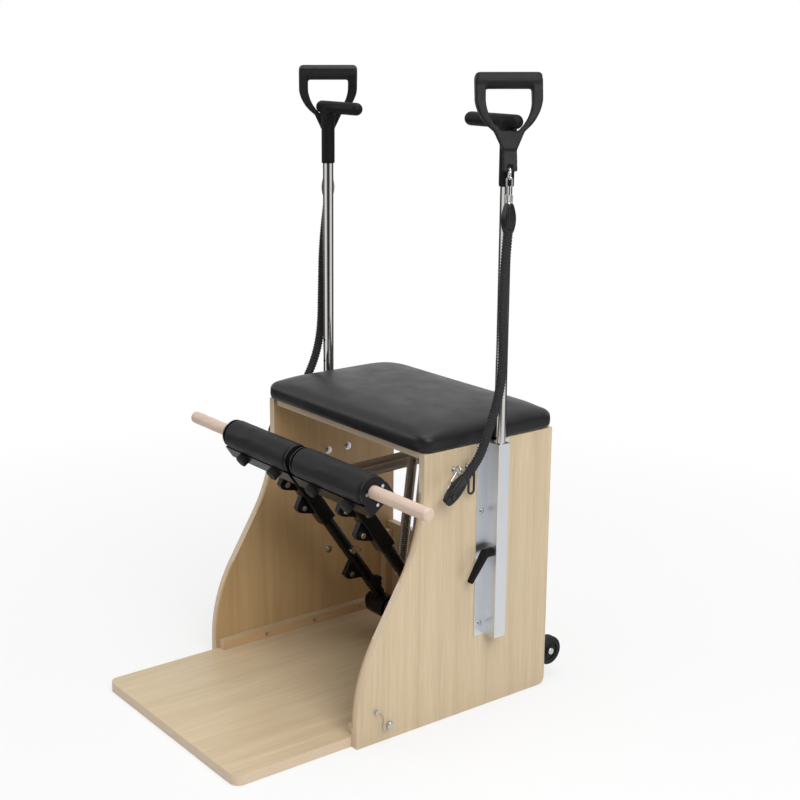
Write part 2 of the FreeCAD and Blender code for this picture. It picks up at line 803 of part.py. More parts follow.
def pad():
    """The padded roll on its wooden core, which sits in the tray."""
    x0 = pad_inner + end_plate_thickness
    x1 = pad_outer - end_plate_thickness
    roll = Part.makeLoft([pad_outline(x0, -pad_draw), pad_outline(x0 + pad_end_length, 0),
                          pad_outline(x1 - pad_end_length, 0), pad_outline(x1, -pad_draw)], True, True)
    half = tray_width / 2 - tray_wall - seat_gap
    core = box(x0, x1, -half, half, pedal_radius - tray_bottom + tray_wall, pedal_radius - tray_top)
    body = roll.fuse(core).removeSplitter()
    cuts = [rod_x(x0 - 1, x1 + 1, 0, pedal_radius, dowel_radius + 1)]
    for x, outwards in ((x0, -1), (x1, 1)):
        for across, up in plate_screw_places:
            deep = x - outwards * (plate_screw_length - end_plate_thickness + 1)
            cuts.append(rod_x(x + outwards, deep, across, pedal_radius + up,
                              plate_screw_radius + running_gap))
    return in_pedal(body.cut(cuts))


def pedal_base():
    """The steel tray under a pad, with its two end plates."""
    half = tray_width / 2
    low = pedal_radius - tray_bottom
    high = pedal_radius - tray_top
    tray = box(pad_inner, pad_outer, -half, half, low, high)
    tray = tray.cut(box(pad_inner - 1, pad_outer + 1, -half + tray_wall, half - tray_wall,
                        low + tray_wall, high + 1))
    for x, outwards in ((pad_inner, 1), (pad_outer, -1)):
        inner = x + outwards * end_plate_thickness
        lower = box(x, inner, -half, half, low, high)
        upper = Part.Face(pad_outline(x, -end_plate_draw)).extrude(V(outwards * end_plate_thickness, 0, 0))
        tray = tray.fuse(lower).fuse(upper)
    tray = tray.removeSplitter()
    cuts = [rod_x(pad_inner - 1, pad_outer + 1, 0, pedal_radius, dowel_radius + dowel_gap)]
    for x, outwards in ((pad_inner, -1), (pad_outer, 1)):
        for across, up in plate_screw_places:
            deep = x - outwards * (end_plate_thickness + 1)
            cuts.append(rod_x(x + outwards, deep, across, pedal_radius + up,
                              plate_screw_radius + running_gap))
    return in_pedal(tray.cut(cuts))


def bumpers():
    """Rubber feet on the tray's front, which land on the base board."""
    solids = []
    front = -tray_width / 2
    z = pedal_radius - (tray_top + tray_bottom) / 2
    for end in (-1, 1):
        x = pad_middle + end * bumper_spacing / 2
        foot = rod(V(x, front, z), V(x, front - bumper_height, z), bumper_radius)
        rims = [e for e in foot.Edges if abs(e.BoundBox.YMax - foot.BoundBox.YMin) < 0.01]
        foot = foot.makeFillet(3, rims)
        solids.append(foot)
    return in_pedal(group(solids))


def dowel():
    half = dowel_length / 2
    bar = rod_x(-half, half, 0, pedal_radius, dowel_radius)
    rims = [e for e in bar.Edges if 6 < e.Length / dowel_radius < 6.5]
    bar = bar.makeFillet(6, rims)
    return in_pedal(bar)


def star_knob():
    """A five-lobed clamping knob on the arm's inner side."""
    x1 = arm_x - arm_radius - seat_gap
    x0 = x1 - knob_thickness
    body = rod_x(x0, x1, arm_offset, knob_along, knob_radius * 0.72)
    for i in range(5):
        a = 2 * math.pi * i / 5
        y = arm_offset + knob_radius * 0.62 * math.cos(a)
        z = knob_along + knob_radius * 0.62 * math.sin(a)
        body = body.fuse(rod_x(x0, x1, y, z, knob_radius * 0.38))
    tip = arm_x - (arm_radius - arm_wall - fit_gap) - seat_gap
    body = body.fuse(rod_x(x1, tip, arm_offset, knob_along, knob_stud_radius))
    return in_pedal(body.removeSplitter())


def post_bracket():
    """A hat-section rail on the panel's outer face that guides the post."""
    depth = post_standoff + post_radius + seat_gap + bracket_wall
    inner = post_radius + seat_gap
    outer = inner + bracket_wall
    half = bracket_width / 2
    flange = box(outer_x, outer_x + bracket_wall, post_y - half, post_y + half, bracket_bottom, bracket_top)
    hat = box(outer_x, outer_x + depth, post_y - outer, post_y + outer, bracket_bottom, bracket_top)
    body = flange.fuse(hat).removeSplitter()
    cuts = [box(outer_x - 1, outer_x + depth - bracket_wall, post_y - inner, post_y + inner,
                bracket_bottom - 1, bracket_top + 1)]
    for y, z in bracket_screw_places():
        cuts.append(rod_x(outer_x - 1, outer_x + 10, y, z, screw_radius + running_gap))
    cuts.append(rod_y(post_x, post_y - outer - 1, post_y, lever_height, lever_stud_radius + running_gap))
    return body.cut(cuts)


def bracket_bolts():
    """Button-head bolts through flange and panel, each with a washer and nut inside."""
    solids = []
    for y, z in bracket_screw_places():
        head_x = outer_x + bracket_wall
        bolt = rod_x(inner_x - 7, head_x, y, z, screw_radius)
        head = Part.makeCone(screw_head_radius, screw_head_radius * 0.6, 3.6, V(head_x, y, z), V(1, 0, 0))
        bolt = bolt.fuse(head)
        bolt = bolt.fuse(rod_x(inner_x - 1.6, inner_x, y, z, 9))
        bolt = bolt.fuse(rod_x(inner_x - 6, inner_x - 1.6, y, z, 6))
        solids.append(bolt.removeSplitter())
    return group(solids + [mirrored(s) for s in solids])


def post():
    tube = rod_z(post_x, post_y, post_bottom, grip_bar_height - 8, post_radius)
    tube = tube.cut(rod_z(post_x, post_y, post_bottom - 1, grip_bar_height, post_radius - post_wall))
    holes = [rod_y(post_x, post_y - post_radius - 1, post_y, z, index_hole_radius)
             for z in index_hole_heights]
    return tube.cut(holes)


def t_grip():
    """A moulded T: a sleeve on the post and a cross bar with its long side over the seat."""
    z = grip_bar_height
    r = grip_bar_radius
    inner_end = post_x - grip_inner_reach + r
    outer_end = post_x + grip_outer_reach - r
    bar = rod_x(inner_end, outer_end, post_y, z, r)
    for x in (inner_end, outer_end):
        bar = bar.fuse(Part.makeSphere(r, V(x, post_y, z)))
    sleeve = rod_z(post_x, post_y, grip_bottom, z, grip_sleeve_radius)
    flare = Part.makeCone(grip_sleeve_radius, grip_sleeve_radius + 6, 26, V(post_x, post_y, z - 30))
    flare = flare.common(box(post_x - 40, post_x + 40, post_y - r, post_y + r, z - 40, z))
    body = bar.fuse(sleeve).fuse(flare)
    return body.cut(rod_z(post_x, post_y, grip_bottom - 1, grip_bar_height - 8 + running_gap,
                          post_radius + running_gap))


def clamp_lever():
    """A cranked lever whose stud presses on the post through the rail's front wall."""
    wall = post_y - post_radius - seat_gap - bracket_wall
    stud = rod_y(post_x, wall - 4, post_y - post_radius - seat_gap, lever_height, lever_stud_radius)
    hub = rod_y(post_x, wall - seat_gap, wall - 22, lever_height, lever_hub_radius)
    root = V(post_x, wall - 14, lever_height)
    tip = root + V(0, -lever_reach, -lever_drop)
    arm = rod(root, tip, lever_arm_radius).fuse(Part.makeSphere(lever_arm_radius, tip))
    return stud.fuse(hub).fuse(arm).removeSplitter()


def hand_outline(half_top, top, straight, elbow, low):
    """A D outline in the XZ plane, widest at the top and drawn in below."""
    neck, bottom = low
    elbow_x, elbow_z = elbow
    edges = [
        Part.makeLine(V(-half_top, 0, top), V(half_top, 0, top)),
        Part.makeLine(V(half_top, 0, top), V(half_top, 0, straight)),
        Part.Arc(V(half_top, 0, straight), V(elbow_x, 0, elbow_z), V(neck, 0, bottom)).toShape(),
        Part.makeLine(V(neck, 0, bottom), V(-neck, 0, bottom)),
        Part.Arc(V(-neck, 0, bottom), V(-elbow_x, 0, elbow_z), V(-half_top, 0, straight)).toShape(),
        Part.makeLine(V(-half_top, 0, straight), V(-half_top, 0, top)),
    ]
    return Part.Face(Part.Wire(edges))


def hand_taper():
    """The side view of a hand grip: as thick as its bar above, thin at the neck."""
    wide = hand_top_thickness / 2
    thin = hand_thickness / 2
    corners = [V(0, -wide, hand_bar_radius), V(0, wide, hand_bar_radius), V(0, wide, -hand_taper_start),
               V(0, thin, -hand_taper_end), V(0, thin, -hand_length), V(0, -thin, -hand_length),
               V(0, -thin, -hand_taper_end), V(0, -wide, -hand_taper_start), V(0, -wide, hand_bar_radius)]
    side = Part.Face(Part.makePolygon(corners)).extrude(V(hand_width, 0, 0))
    side.translate(V(-hand_width / 2, 0, 0))
    return side


def hand_grip():
    """A D-shaped hand grip hung from its bar at the origin: padded bar, two sides, neck and tab."""
    half = hand_width / 2
    opening = half - hand_side
    neck = hand_neck_width / 2
    shoulder = hand_shoulder_width / 2
    outer = hand_outline(half, hand_bar_radius, -hand_straight, (half - hand_elbow_in, -hand_elbow),
                         (shoulder, -hand_shoulder))
    inner = hand_outline(opening, 0, -hand_opening_straight, (opening - hand_opening_elbow_in, -hand_elbow),
                         (hand_opening_tip, -hand_opening))
    web = Part.Face(Part.makePolygon([V(-shoulder, 0, -hand_shoulder), V(shoulder, 0, -hand_shoulder),
                                      V(neck, 0, -hand_neck_start), V(-neck, 0, -hand_neck_start),
                                      V(-shoulder, 0, -hand_shoulder)]))
    thick = V(0, hand_top_thickness, 0)
    plate = outer.cut(inner).extrude(thick).fuse(web.extrude(thick))
    plate.translate(V(0, -hand_top_thickness / 2, 0))
    plate = plate.common(hand_taper())
    tab = box(-neck, neck, -tab_thickness / 2, tab_thickness / 2, -hand_length, 2 - hand_neck_start)
    bar = rod_x(-half, half, 0, 0, hand_bar_radius)
    bar = bar.makeFillet(5, [e for e in bar.Edges if 6 < e.Length / hand_bar_radius < 6.5])
    body = bar.fuse(plate).fuse(tab)
    eye = rod_y(0, -hand_thickness, hand_thickness, tab_eye_edge - hand_length, tab_eye_radius)
    return body.cut(eye).removeSplitter()


def snap_hook(swivel):
    """A swivel hook that hangs from the origin: a hook eye, a barrel and a lower eye."""
    upper = stadium_loop(hook_length, hook_width, hook_rod)
    start = -hook_length + hook_rod + barrel_lap
    barrel = rod_z(0, 0, start, start - swivel, swivel_radius)
    lower = stadium_loop(lower_eye_length, lower_eye_width, lower_eye_rod)
    lower_top = start - swivel + lower_eye_rod + barrel_lap
    lower.translate(V(0, 0, lower_top))
    return upper.fuse(barrel).fuse(lower), lower_top - lower_eye_length


def hand_clip():
    """The ring, swivel hook and strap loop under a hand grip, hung from the tab's eye at the origin."""
    ring = stadium_loop(2 * ring_radius, 2 * ring_radius - 0.2, ring_wire)
    ring.rotate(V(0, 0, 0), V(0, 0, 1), 90)
    hook, drop = snap_hook(swivel_length)
    top = -2 * ring_radius + ring_wire + hook_rod + seat_gap
    hook.translate(V(0, 0, top))
    loop = stadium_loop(loop_length, loop_width, loop_rod)
    loop.rotate(V(0, 0, 0), V(0, 0, 1), 90)
    loop_top = top + drop + lower_eye_rod + loop_rod + seat_gap
    loop.translate(V(0, 0, loop_top))
    return [ring, hook, loop], loop_top - loop_length - loop_rod


def hand_set(side):
    """One hand grip wedged over the outer end of its T-bar, and the clip that hangs from its tab."""
    a = math.radians(hand_turn)
    across = V(math.cos(a), math.sin(a), 0)
    out = V(math.sin(a), -math.cos(a), 0) * side
    t = math.radians(hand_lean)
    up = V(0, 0, math.cos(t)) - out * math.sin(t)
    seat = V(side * post_x, post_y, grip_bar_height) + out * hand_seat_out
    origin = seat + up * hand_rise
    grip = placed_on(hand_grip(), origin, across, up)
    eye = origin - up * (hand_length - tab_eye_edge) - V(0, 0, seat_gap)
    clip, drop = hand_clip()
    clip = [placed_on(s, eye, across, V(0, 0, 1)) for s in clip]
    bottom = eye + V(0, 0, drop - strap_gap)
    print("strap starts at", round(bottom.x, 1), round(panel_rear - bottom.y, 1), round(bottom.z, 1))
    return grip, group(clip)


def at_rear(x, from_rear, z):
    return V(x, panel_rear - from_rear, z)


def strap(route, name):
    return cord_tube([at_rear(*p) for p in route], strap_radius, name)


def panel_eyes():
    eyes = []
    for from_rear in eye_from_rear:
        y = panel_rear - from_rear
        middle = outer_x + 5 + eye_ring_radius
        shank = rod_x(outer_x - 12, outer_x + 6, y, eye_height, 3)
        foot = rod_x(outer_x, outer_x + 2, y, eye_height, 7)
        ring = Part.makeTorus(eye_ring_radius, eye_wire, V(middle, y, eye_height), V(0, 1, 0))
        eyes.append(shank.fuse(foot).fuse(ring))
    return group(eyes + [mirrored(e) for e in eyes])


def strap_hooks():
    """The chain from each first eye to a strap's foot, and a spare clip on each second eye."""
    ring_middle = outer_x + 5 + eye_ring_radius
    last = at_rear(*right_route[-1])
    upwards = (at_rear(*right_route[-2]) - last).normalize()
    pin_place = last - upwards * strap_end_length
    eye_low = at_rear(ring_middle, eye_from_rear[0], eye_height - eye_ring_radius)
    foot = pin_place - V(strap_end_radius + swivel_radius + strap_pin_neck, 0, 0)
    down = (foot - eye_low).normalize()
    across = V(0, 1, 0)
    link_top = eye_low - down * (eye_wire + link_rod + seat_gap)
    link = placed_on(stadium_loop(link_length, link_width, link_rod), link_top, across, down * -1)
    hook_top = link_top + down * (link_length - link_rod - hook_rod - seat_gap)
    hook = placed_on(stadium_loop(hook_length, hook_width, hook_rod), hook_top, down.cross(across),
                     down * -1)
    barrel_top = hook_top + down * (hook_length - hook_rod - barrel_lap)
    barrel = rod(barrel_top, foot + down * (strap_pin_radius + 2), swivel_radius)
    knob_start = pin_place + V(strap_end_radius + strap_pin_neck, 0, 0)
    pin = rod(foot, knob_start, strap_pin_radius)
    knob = rod(knob_start, knob_start + V(2, 0, 0), 2 * strap_pin_radius)
    hook = hook.fuse(barrel).fuse(pin).fuse(knob)
    end = rod(pin_place - upwards * strap_end_tip, last, strap_end_radius)
    end = end.cut(rod(foot, pin_place + V(2 * strap_end_radius, 0, 0), strap_pin_radius + running_gap))
    second = at_rear(ring_middle, eye_from_rear[1],
                     eye_height - eye_ring_radius + eye_wire + loop_rod + seat_gap)
    spare = placed_on(stadium_loop(spare_length, spare_width, loop_rod), second, across, V(0, 0, 1))
    pieces = [link, hook, end, spare]
    return group(pieces + [mirrored(piece) for piece in pieces])


def lock_pin():
    y = panel_front + lock_from_front
    tip = inner_x - board_gap - lock_depth
    pin = rod_x(tip, outer_x + 3, y, lock_height, lock_radius)
    head = rod_x(outer_x + seat_gap, outer_x + 9, y, lock_height, lock_head_radius)
    head = head.makeFillet(2.5, [e for e in head.Edges if abs(e.BoundBox.XMin - head.BoundBox.XMax) < 0.01])
    return pin.fuse(head).removeSplitter()


def lanyard():
    """A thin wire loop from the lock pin's head to its screw."""
    x = outer_x + 1.5
    y0 = panel_front + lanyard_screw_from_front
    y1 = panel_front + lock_from_front
    pts = [V(x, y0 + 3.4, lanyard_screw_height - 1), V(x + 3, y0 + 14, lanyard_screw_height - 7),
           V(x + 6, y0 + 15, lanyard_screw_height - 20), V(x + 8, y0 + 10, lanyard_screw_height - 32),
           V(x + 9, y0 + 12, lanyard_screw_height - 44), V(x + 8, y0 + 21, lanyard_screw_height - 47),
           V(x + 5, y1 - lock_head_radius - lanyard_radius, lock_height - 1)]
    return cord_tube(pts, lanyard_radius, "lanyard")


def build_frame():
    both("side_panel", side_panel())
    save("base_board", base_board())
    both("batten", batten())
    save("frame_fasteners", group([frame_screws(), bracket_bolts()]))
    save("seat_board", box(-inner_x, inner_x, panel_top_front + seat_board_setback, panel_rear,
                           panel_height - seat_board_thickness, panel_height))
    save("seat_cushion", seat_cushion())
    save("back_board", box(-inner_x, inner_x, panel_rear - back_board_thickness, panel_rear,
                           base_thickness, back_board_top))
    cleat = back_cleat()
    save("back_cleats", group([cleat, mirrored(cleat)]))
    save("spring_bars", spring_bars())
    save("pivot_axle", pivot_axle())
    save("shaft_collars", shaft_collars())
    save("pivot_stand", pivot_stand())
    save("wheel_brackets", group([wheel_bracket(), mirrored(wheel_bracket())]))
    save("wheel_axles", group([wheel_axle(), mirrored(wheel_axle())]))
    both("wheel", wheel())
    both("lock_pin", lock_pin())
    wire = lanyard()
    save("lock_lanyards", group([wire, mirrored(wire)]))


def build_pedals():
    both("pivot_hub", pivot_hub())
    both("hub_bushes", hub_bushes())
    both("arm_tube", arm_tube())
    both("arm_sleeve", arm_sleeve())
    both("hook_brackets", hook_brackets())
    both("pedal_bolts", pedal_bolts())
    both("pedal_base", pedal_base())
    both("pad", pad())
    both("bumpers", bumpers())
    both("star_knob", star_knob())
    save("dowel", dowel())


def build_springs():
    """The right pedal's springs hang from the front bar, the left pedal's run back to the rear bar."""
    front_bar = at_rear(0, front_bar_from_rear, front_bar_height)
    rear_bar = at_rear(0, rear_bar_from_rear, rear_bar_height)
    for name, side, along, bar in (("right_springs", 1, lower_pin, front_bar),
                                   ("left_springs", -1, upper_pin, rear_bar)):
        pieces = []
        for spread in (-spring_spread, spring_spread):
            x = side * arm_x + spread
            start = pedal_point(x, arm_offset, along)
            pieces += spring(start, V(x, bar.y, bar.z), pin_radius, bar_radius)
        save(name, group(pieces))


def build_posts():
    both("post_bracket", post_bracket())
    both("post", post())
    both("t_grip", t_grip())
    both("clamp_lever", clamp_lever())
    save("panel_eyes", panel_eyes())
    save("strap_hooks", strap_hooks())
    for name, side, route in (("right", 1, right_route), ("left", -1, left_route)):
        grip, clip = hand_set(side)
        save(name + "_hand_grip", grip)
        save(name + "_hand_clip", clip)
        save(name + "_strap", strap(route, name + " strap"))


build_frame()
build_pedals()
build_springs()
build_posts()
print(len(os.listdir("parts")), "nodes")
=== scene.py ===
"""Padding, springs, straps and finishes of a pilates chair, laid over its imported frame."""

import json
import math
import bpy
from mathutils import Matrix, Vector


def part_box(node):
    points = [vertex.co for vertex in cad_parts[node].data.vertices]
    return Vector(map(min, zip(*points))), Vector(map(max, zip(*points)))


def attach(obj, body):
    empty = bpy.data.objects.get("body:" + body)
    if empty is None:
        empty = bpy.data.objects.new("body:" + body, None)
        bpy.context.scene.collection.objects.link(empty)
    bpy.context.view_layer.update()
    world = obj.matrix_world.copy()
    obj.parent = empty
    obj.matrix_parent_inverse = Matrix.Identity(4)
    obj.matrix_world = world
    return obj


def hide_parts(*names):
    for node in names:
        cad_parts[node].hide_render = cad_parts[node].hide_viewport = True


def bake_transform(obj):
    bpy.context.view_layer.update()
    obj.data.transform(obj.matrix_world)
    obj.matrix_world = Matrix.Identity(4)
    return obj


bl_info = {
    "name": "Pilates chair",
    "version": (1, 0, 0),
    "blender": (4, 5, 0),
    "location": "View3D > Sidebar > Chair",
    "description": "Models a pilates chair's padding, springs and straps and gives every piece its finish",
    "category": "Object",
}

import bpy
from bpy.props import FloatProperty, FloatVectorProperty, IntProperty, PointerProperty
from mathutils import Matrix, Vector

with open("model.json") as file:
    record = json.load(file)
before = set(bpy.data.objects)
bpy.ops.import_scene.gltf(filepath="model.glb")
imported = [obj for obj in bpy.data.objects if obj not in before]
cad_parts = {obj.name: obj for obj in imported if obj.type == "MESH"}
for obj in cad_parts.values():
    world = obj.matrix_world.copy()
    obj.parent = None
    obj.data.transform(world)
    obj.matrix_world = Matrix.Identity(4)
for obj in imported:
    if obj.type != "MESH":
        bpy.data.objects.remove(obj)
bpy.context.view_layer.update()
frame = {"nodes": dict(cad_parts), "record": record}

joints = {joint["name"]: joint for joint in frame["record"]["behaviour"]["joints"]}
pivot = Vector(joints["pedal_right_swing"]["pos_m"])
pedal_lean = math.radians(35.26)
pedal_place = Matrix.Translation(pivot) @ Matrix.Rotation(pedal_lean, 4, "X")
sides = {"right": 1, "left": -1}
x_axis = Vector((1, 0, 0))
z_axis = Vector((0, 0, 1))
same_place = 0.00001

# On an upright pedal: the arm's middle, its spring pins and the dowel's axis
arm_out = 0.110
pin_ahead = 0.010
pin_heights = {"right": 0.196, "left": 0.413}
dowel_height = 0.542

# The spring bars' places
bar_places = {"right": (0.143, 0.548), "left": (0.333, 0.447)}

# The clamp levers' axis on the posts' rails
post_out = 0.306
lever_height = 0.362
rail_face = 0.1810

# The straps' and lanyards' routes, from their upper ends down
strap_routes = {
    "right": [(0.3436, 0.1697, 1.051), (0.342, 0.165, 0.988), (0.340, 0.164, 0.880),
              (0.339, 0.170, 0.790), (0.336, 0.165, 0.713), (0.331, 0.140, 0.636),
              (0.327, 0.120, 0.579), (0.3235, 0.084, 0.545)],
    "left": [(-0.3436, 0.2223, 1.051), (-0.3445, 0.208, 0.955), (-0.344, 0.204, 0.835),
             (-0.3415, 0.200, 0.735), (-0.336, 0.180, 0.668), (-0.331, 0.146, 0.612),
             (-0.327, 0.120, 0.579), (-0.3235, 0.084, 0.545)],
}
lanyard_route = [(0.2865, -0.1056, 0.069), (0.2895, -0.095, 0.063), (0.2925, -0.094, 0.050),
                 (0.2945, -0.099, 0.038), (0.2955, -0.097, 0.026), (0.2945, -0.088, 0.023),
                 (0.2915, -0.0839, 0.032)]

# Wire clips on the spring pins: the bend in its own plane, that plane's slope and its place
clip_bend = ((-0.008, 0.0), (0.006, 0.0), (0.014, -0.001), (0.019, 0.003), (0.016, 0.008), (0.010, 0.006),
             (0.004, 0.009), (-0.004, 0.006), (-0.009, 0.009))
clip_slope = math.radians(-62)
clip_lift = 0.004
clip_aside = 0.0252
clip_wire = 0.0012

# Stitched strap ends: length, half width, half thickness and taper
head_size = (0.062, 0.0155, 0.0095, 0.25)
foot_size = (0.074, 0.0155, 0.0092, 0.25)
head_rise = Vector((0, 0, 0.024))
foot_way = Vector((0, 0.72, 0.69))
foot_in = -0.001
foot_drop = (-0.019, -0.018)

# Where the hardware turns black: below the grips' ring, outside the panels' eyes and behind them
black_below = 1.104
black_outside = 0.3115
black_behind = 0.113

# Lamps: place, size and power
lamps = {
    "key": ((3.0, -0.6, 2.8), 2.2, 84),
    "fill": ((-2.6, -2.6, 2.4), 2.6, 26),
    "top": ((0.2, 0.4, 4.0), 2.6, 72),
}
lamp_target = Vector((0, 0, 0.5))
back_way = (-0.79, 0.57, 0.22)
floor_size = 60
floor_place = (0, 0, -0.0005)
camera_place = Vector((2.4398, -1.7688, 1.4507))
camera_target = Vector((-0.1482, 0.118, 0.7023))

# Colours of the hardware, the strap and the stage
white = (1, 1, 1, 1)
floor_grey = (0.86, 0.86, 0.86, 1)
# Painted shade: the darker, warmer multiply laid on the boards' inner faces
painted_inner_shade = (0.86, 0.73, 0.56, 1)
hardware_dim = (0.66, 0.66, 0.67, 1)
hardware_bright = (0.80, 0.80, 0.81, 1)
hardware_black = (0.014, 0.014, 0.015, 1)
elastic_dark = (0.008, 0.008, 0.009, 1)
elastic_light = (0.024, 0.024, 0.027, 1)


def length_setting(name, description, default, low=0.0):
    """A length that the panel shows."""
    return FloatProperty(name=name, description=description, default=default, min=low, unit="LENGTH")


def colour_setting(name, description, red, green, blue):
    """A colour that the panel shows."""
    return FloatVectorProperty(name=name, description=description, subtype="COLOR", size=4,
                               default=(red, green, blue, 1))


class ChairSizes(bpy.types.PropertyGroup):
    """Sizes of the padding, springs and straps."""

    cushion_corner: length_setting("Cushion corner", "Radius of the seat's upright corners", 0.034, 0.01)
    cushion_roll: length_setting("Cushion roll", "Radius of the seat's upper edge", 0.027, 0.005)
    cushion_dome: length_setting("Cushion dome", "How far the seat's middle is raised", 0.004)
    cushion_drop: length_setting("Cushion drop", "How far the seat's top falls towards its rim", 0.0095)
    cushion_shoulder: length_setting("Cushion shoulder", "Width of the band that falls", 0.090, 0.01)
    cushion_swell: length_setting("Cushion swell", "How far the stuffing may push the seat's cover", 0.0045)
    pad_swell: length_setting("Pad swell", "How far the stuffing may push a pedal pad's cover", 0.003)
    coil_pitch: length_setting("Coil pitch", "Distance between a spring's turns", 0.0043, 0.0038)
    coil_steps: IntProperty(name="Coil steps", description="Steps in a spring's turn", default=14, min=8)
    strap_width: length_setting("Strap width", "Width of the elastic straps", 0.020, 0.005)
    ruffle_pitch: length_setting("Ruffle pitch", "Distance between the straps' gathers", 0.0062, 0.003)
    edge_ease: length_setting("Edge ease", "Rounding of the boards' edges", 0.0012)


class ChairColours(bpy.types.PropertyGroup):
    """Colours that a user would change."""

    board_light: colour_setting("Board, light", "Light streaks of the laminate", 0.70, 0.57, 0.385)
    board_dark: colour_setting("Board, dark", "Dark streaks of the laminate", 0.58, 0.45, 0.285)
    edge_band: colour_setting("Edge band", "The boards' edges", 0.76, 0.605, 0.435)
    dowel_wood: colour_setting("Dowel", "The beech dowel", 0.72, 0.55, 0.44)
    vinyl: colour_setting("Vinyl", "The seat's and pads' cover", 0.009, 0.009, 0.010)
    grip: colour_setting("Grips", "Moulded grips and levers", 0.006, 0.006, 0.007)


def clear_selection():
    """Leave edit mode and select nothing."""
    if bpy.context.object and bpy.context.object.mode != "OBJECT":
        bpy.ops.object.mode_set(mode="OBJECT")
    bpy.ops.object.select_all(action="DESELECT")


def take(piece):
    """Make a piece the only selected and active one."""
    clear_selection()
    piece.select_set(True)
    bpy.context.view_layer.objects.active = piece


def named(name):
    """The piece that an operator has just added, under its own name."""
    piece = bpy.context.object
    piece.name = name
    piece.data.name = name
    return piece


def settle(piece):
    """Put a piece's place into its mesh."""
    take(piece)
    bpy.ops.object.transform_apply(location=True, rotation=True, scale=True)
    return piece


def place(piece, matrix):
    """Move a piece by a matrix and put the move into its mesh."""
    piece.matrix_world = matrix @ piece.matrix_world
    return settle(piece)


def standing(foot, along):
    """The matrix that puts an upright piece's foot at a point and leans it along a direction square to X."""
    along = along.normalized()
    turn = Matrix((x_axis, along.cross(x_axis), along)).transposed().to_4x4()
    return Matrix.Translation(foot) @ turn


def facing(start, target):
    """The rotation of a lamp or camera at one point that looks at another."""
    return (target - start).to_track_quat("-Z", "Y").to_euler()


def finish_with(piece, kind, **values):
    """Add a modifier with its values and apply it."""
    take(piece)
    modifier = piece.modifiers.new(kind.lower(), kind)
    for key, value in values.items():
        setattr(modifier, key, value)
    bpy.ops.object.modifier_apply(modifier=modifier.name)


def edit_all(piece, operator, **values):
    """Run an edit-mode operator on a whole piece."""
    take(piece)
    bpy.ops.object.mode_set(mode="EDIT")
    bpy.ops.mesh.select_all(action="SELECT")
    operator(**values)
    bpy.ops.object.mode_set(mode="OBJECT")


def round_edges(piece, test, width, steps):
    """Bevel the edges whose two ends pass a test."""
    take(piece)
    bpy.ops.object.mode_set(mode="EDIT")
    bpy.ops.mesh.select_mode(type="EDGE")
    bpy.ops.mesh.select_all(action="DESELECT")
    bpy.ops.object.mode_set(mode="OBJECT")
    points = piece.data.vertices
    for edge in piece.data.edges:
        edge.select = test(points[edge.vertices[0]].co, points[edge.vertices[1]].co)
    bpy.ops.object.mode_set(mode="EDIT")
    bpy.ops.mesh.bevel(offset=width, segments=steps, affect="EDGES")
    bpy.ops.object.mode_set(mode="OBJECT")


def join(name, pieces):
    """Join pieces into the first one."""
    take(pieces[0])
    for piece in pieces:
        piece.select_set(True)
    bpy.ops.object.join()
    return named(name)


def smooth(piece, angle):
    """Shade a piece smooth, apart from edges sharper than an angle in degrees."""
    take(piece)
    bpy.ops.object.shade_smooth_by_angle(angle=math.radians(angle))


def dress(piece, finish_name):
    """Give a piece its finish."""
    piece.data.materials.clear()
    piece.data.materials.append(finish(finish_name))


def colour_of(value):
    """A colour, or the one that the setting of that name holds."""
    return tuple(getattr(bpy.context.scene.chair_colours, value)) if isinstance(value, str) else value


def shaded(colour, share):
    """A colour made darker or brighter by a share."""
    return tuple(min(1, part * share) for part in colour[:3]) + (1,)


def blank_finish(name):
    """A new material with its node tree and its surface shader."""
    material = bpy.data.materials.new(name)
    material.use_nodes = True
    tree = material.node_tree
    return material, tree, tree.nodes["Principled BSDF"]


def add_node(tree, kind, inputs=None, **values):
    """A node with its values and input defaults set; an input may be another node's socket."""
    node = tree.nodes.new(kind)
    for key, value in values.items():
        setattr(node, key, value)
    for key, value in (inputs or {}).items():
        if isinstance(value, bpy.types.NodeSocket):
            tree.links.new(value, node.inputs[key])
        else:
            node.inputs[key].default_value = value
    return node


def worked(tree, operation, *values):
    """The result of a calculation with numbers or sockets."""
    return add_node(tree, "ShaderNodeMath", dict(enumerate(values)), operation=operation).outputs[0]


def spread(tree, value, low, high, start=0.0, end=1.0):
    """A value that runs from start to end, spread between two limits."""
    node = add_node(tree, "ShaderNodeMapRange", {"Value": value, "From Min": start, "From Max": end,
                                                 "To Min": low, "To Max": high})
    return node.outputs["Result"]


def mixed(tree, factor, first, second, blend="MIX"):
    """A colour mixed from two, each a socket or a colour."""
    inputs = {0: factor, 6: first, 7: second}
    return add_node(tree, "ShaderNodeMix", inputs, data_type="RGBA", blend_type=blend).outputs[2]


def switched(tree, factor, first, second):
    """A number between two, each a socket or a number."""
    return add_node(tree, "ShaderNodeMix", {0: factor, 2: first, 3: second}, data_type="FLOAT").outputs[0]


def noise(tree, points, scale, detail, roughness=0.5, distortion=0.0):
    """Soft noise at some points."""
    node = add_node(tree, "ShaderNodeTexNoise", {"Vector": points, "Scale": scale, "Detail": detail,
                                                 "Roughness": roughness, "Distortion": distortion})
    return node.outputs["Fac"]


def object_points(tree, scale=(1, 1, 1)):
    """Object coordinates, stretched."""
    coordinates = add_node(tree, "ShaderNodeTexCoord")
    mapping = add_node(tree, "ShaderNodeMapping", {"Vector": coordinates.outputs["Object"], "Scale": scale})
    return mapping.outputs["Vector"]


def split(tree, vector):
    """The three parts of a vector."""
    return add_node(tree, "ShaderNodeSeparateXYZ", {"Vector": vector}).outputs


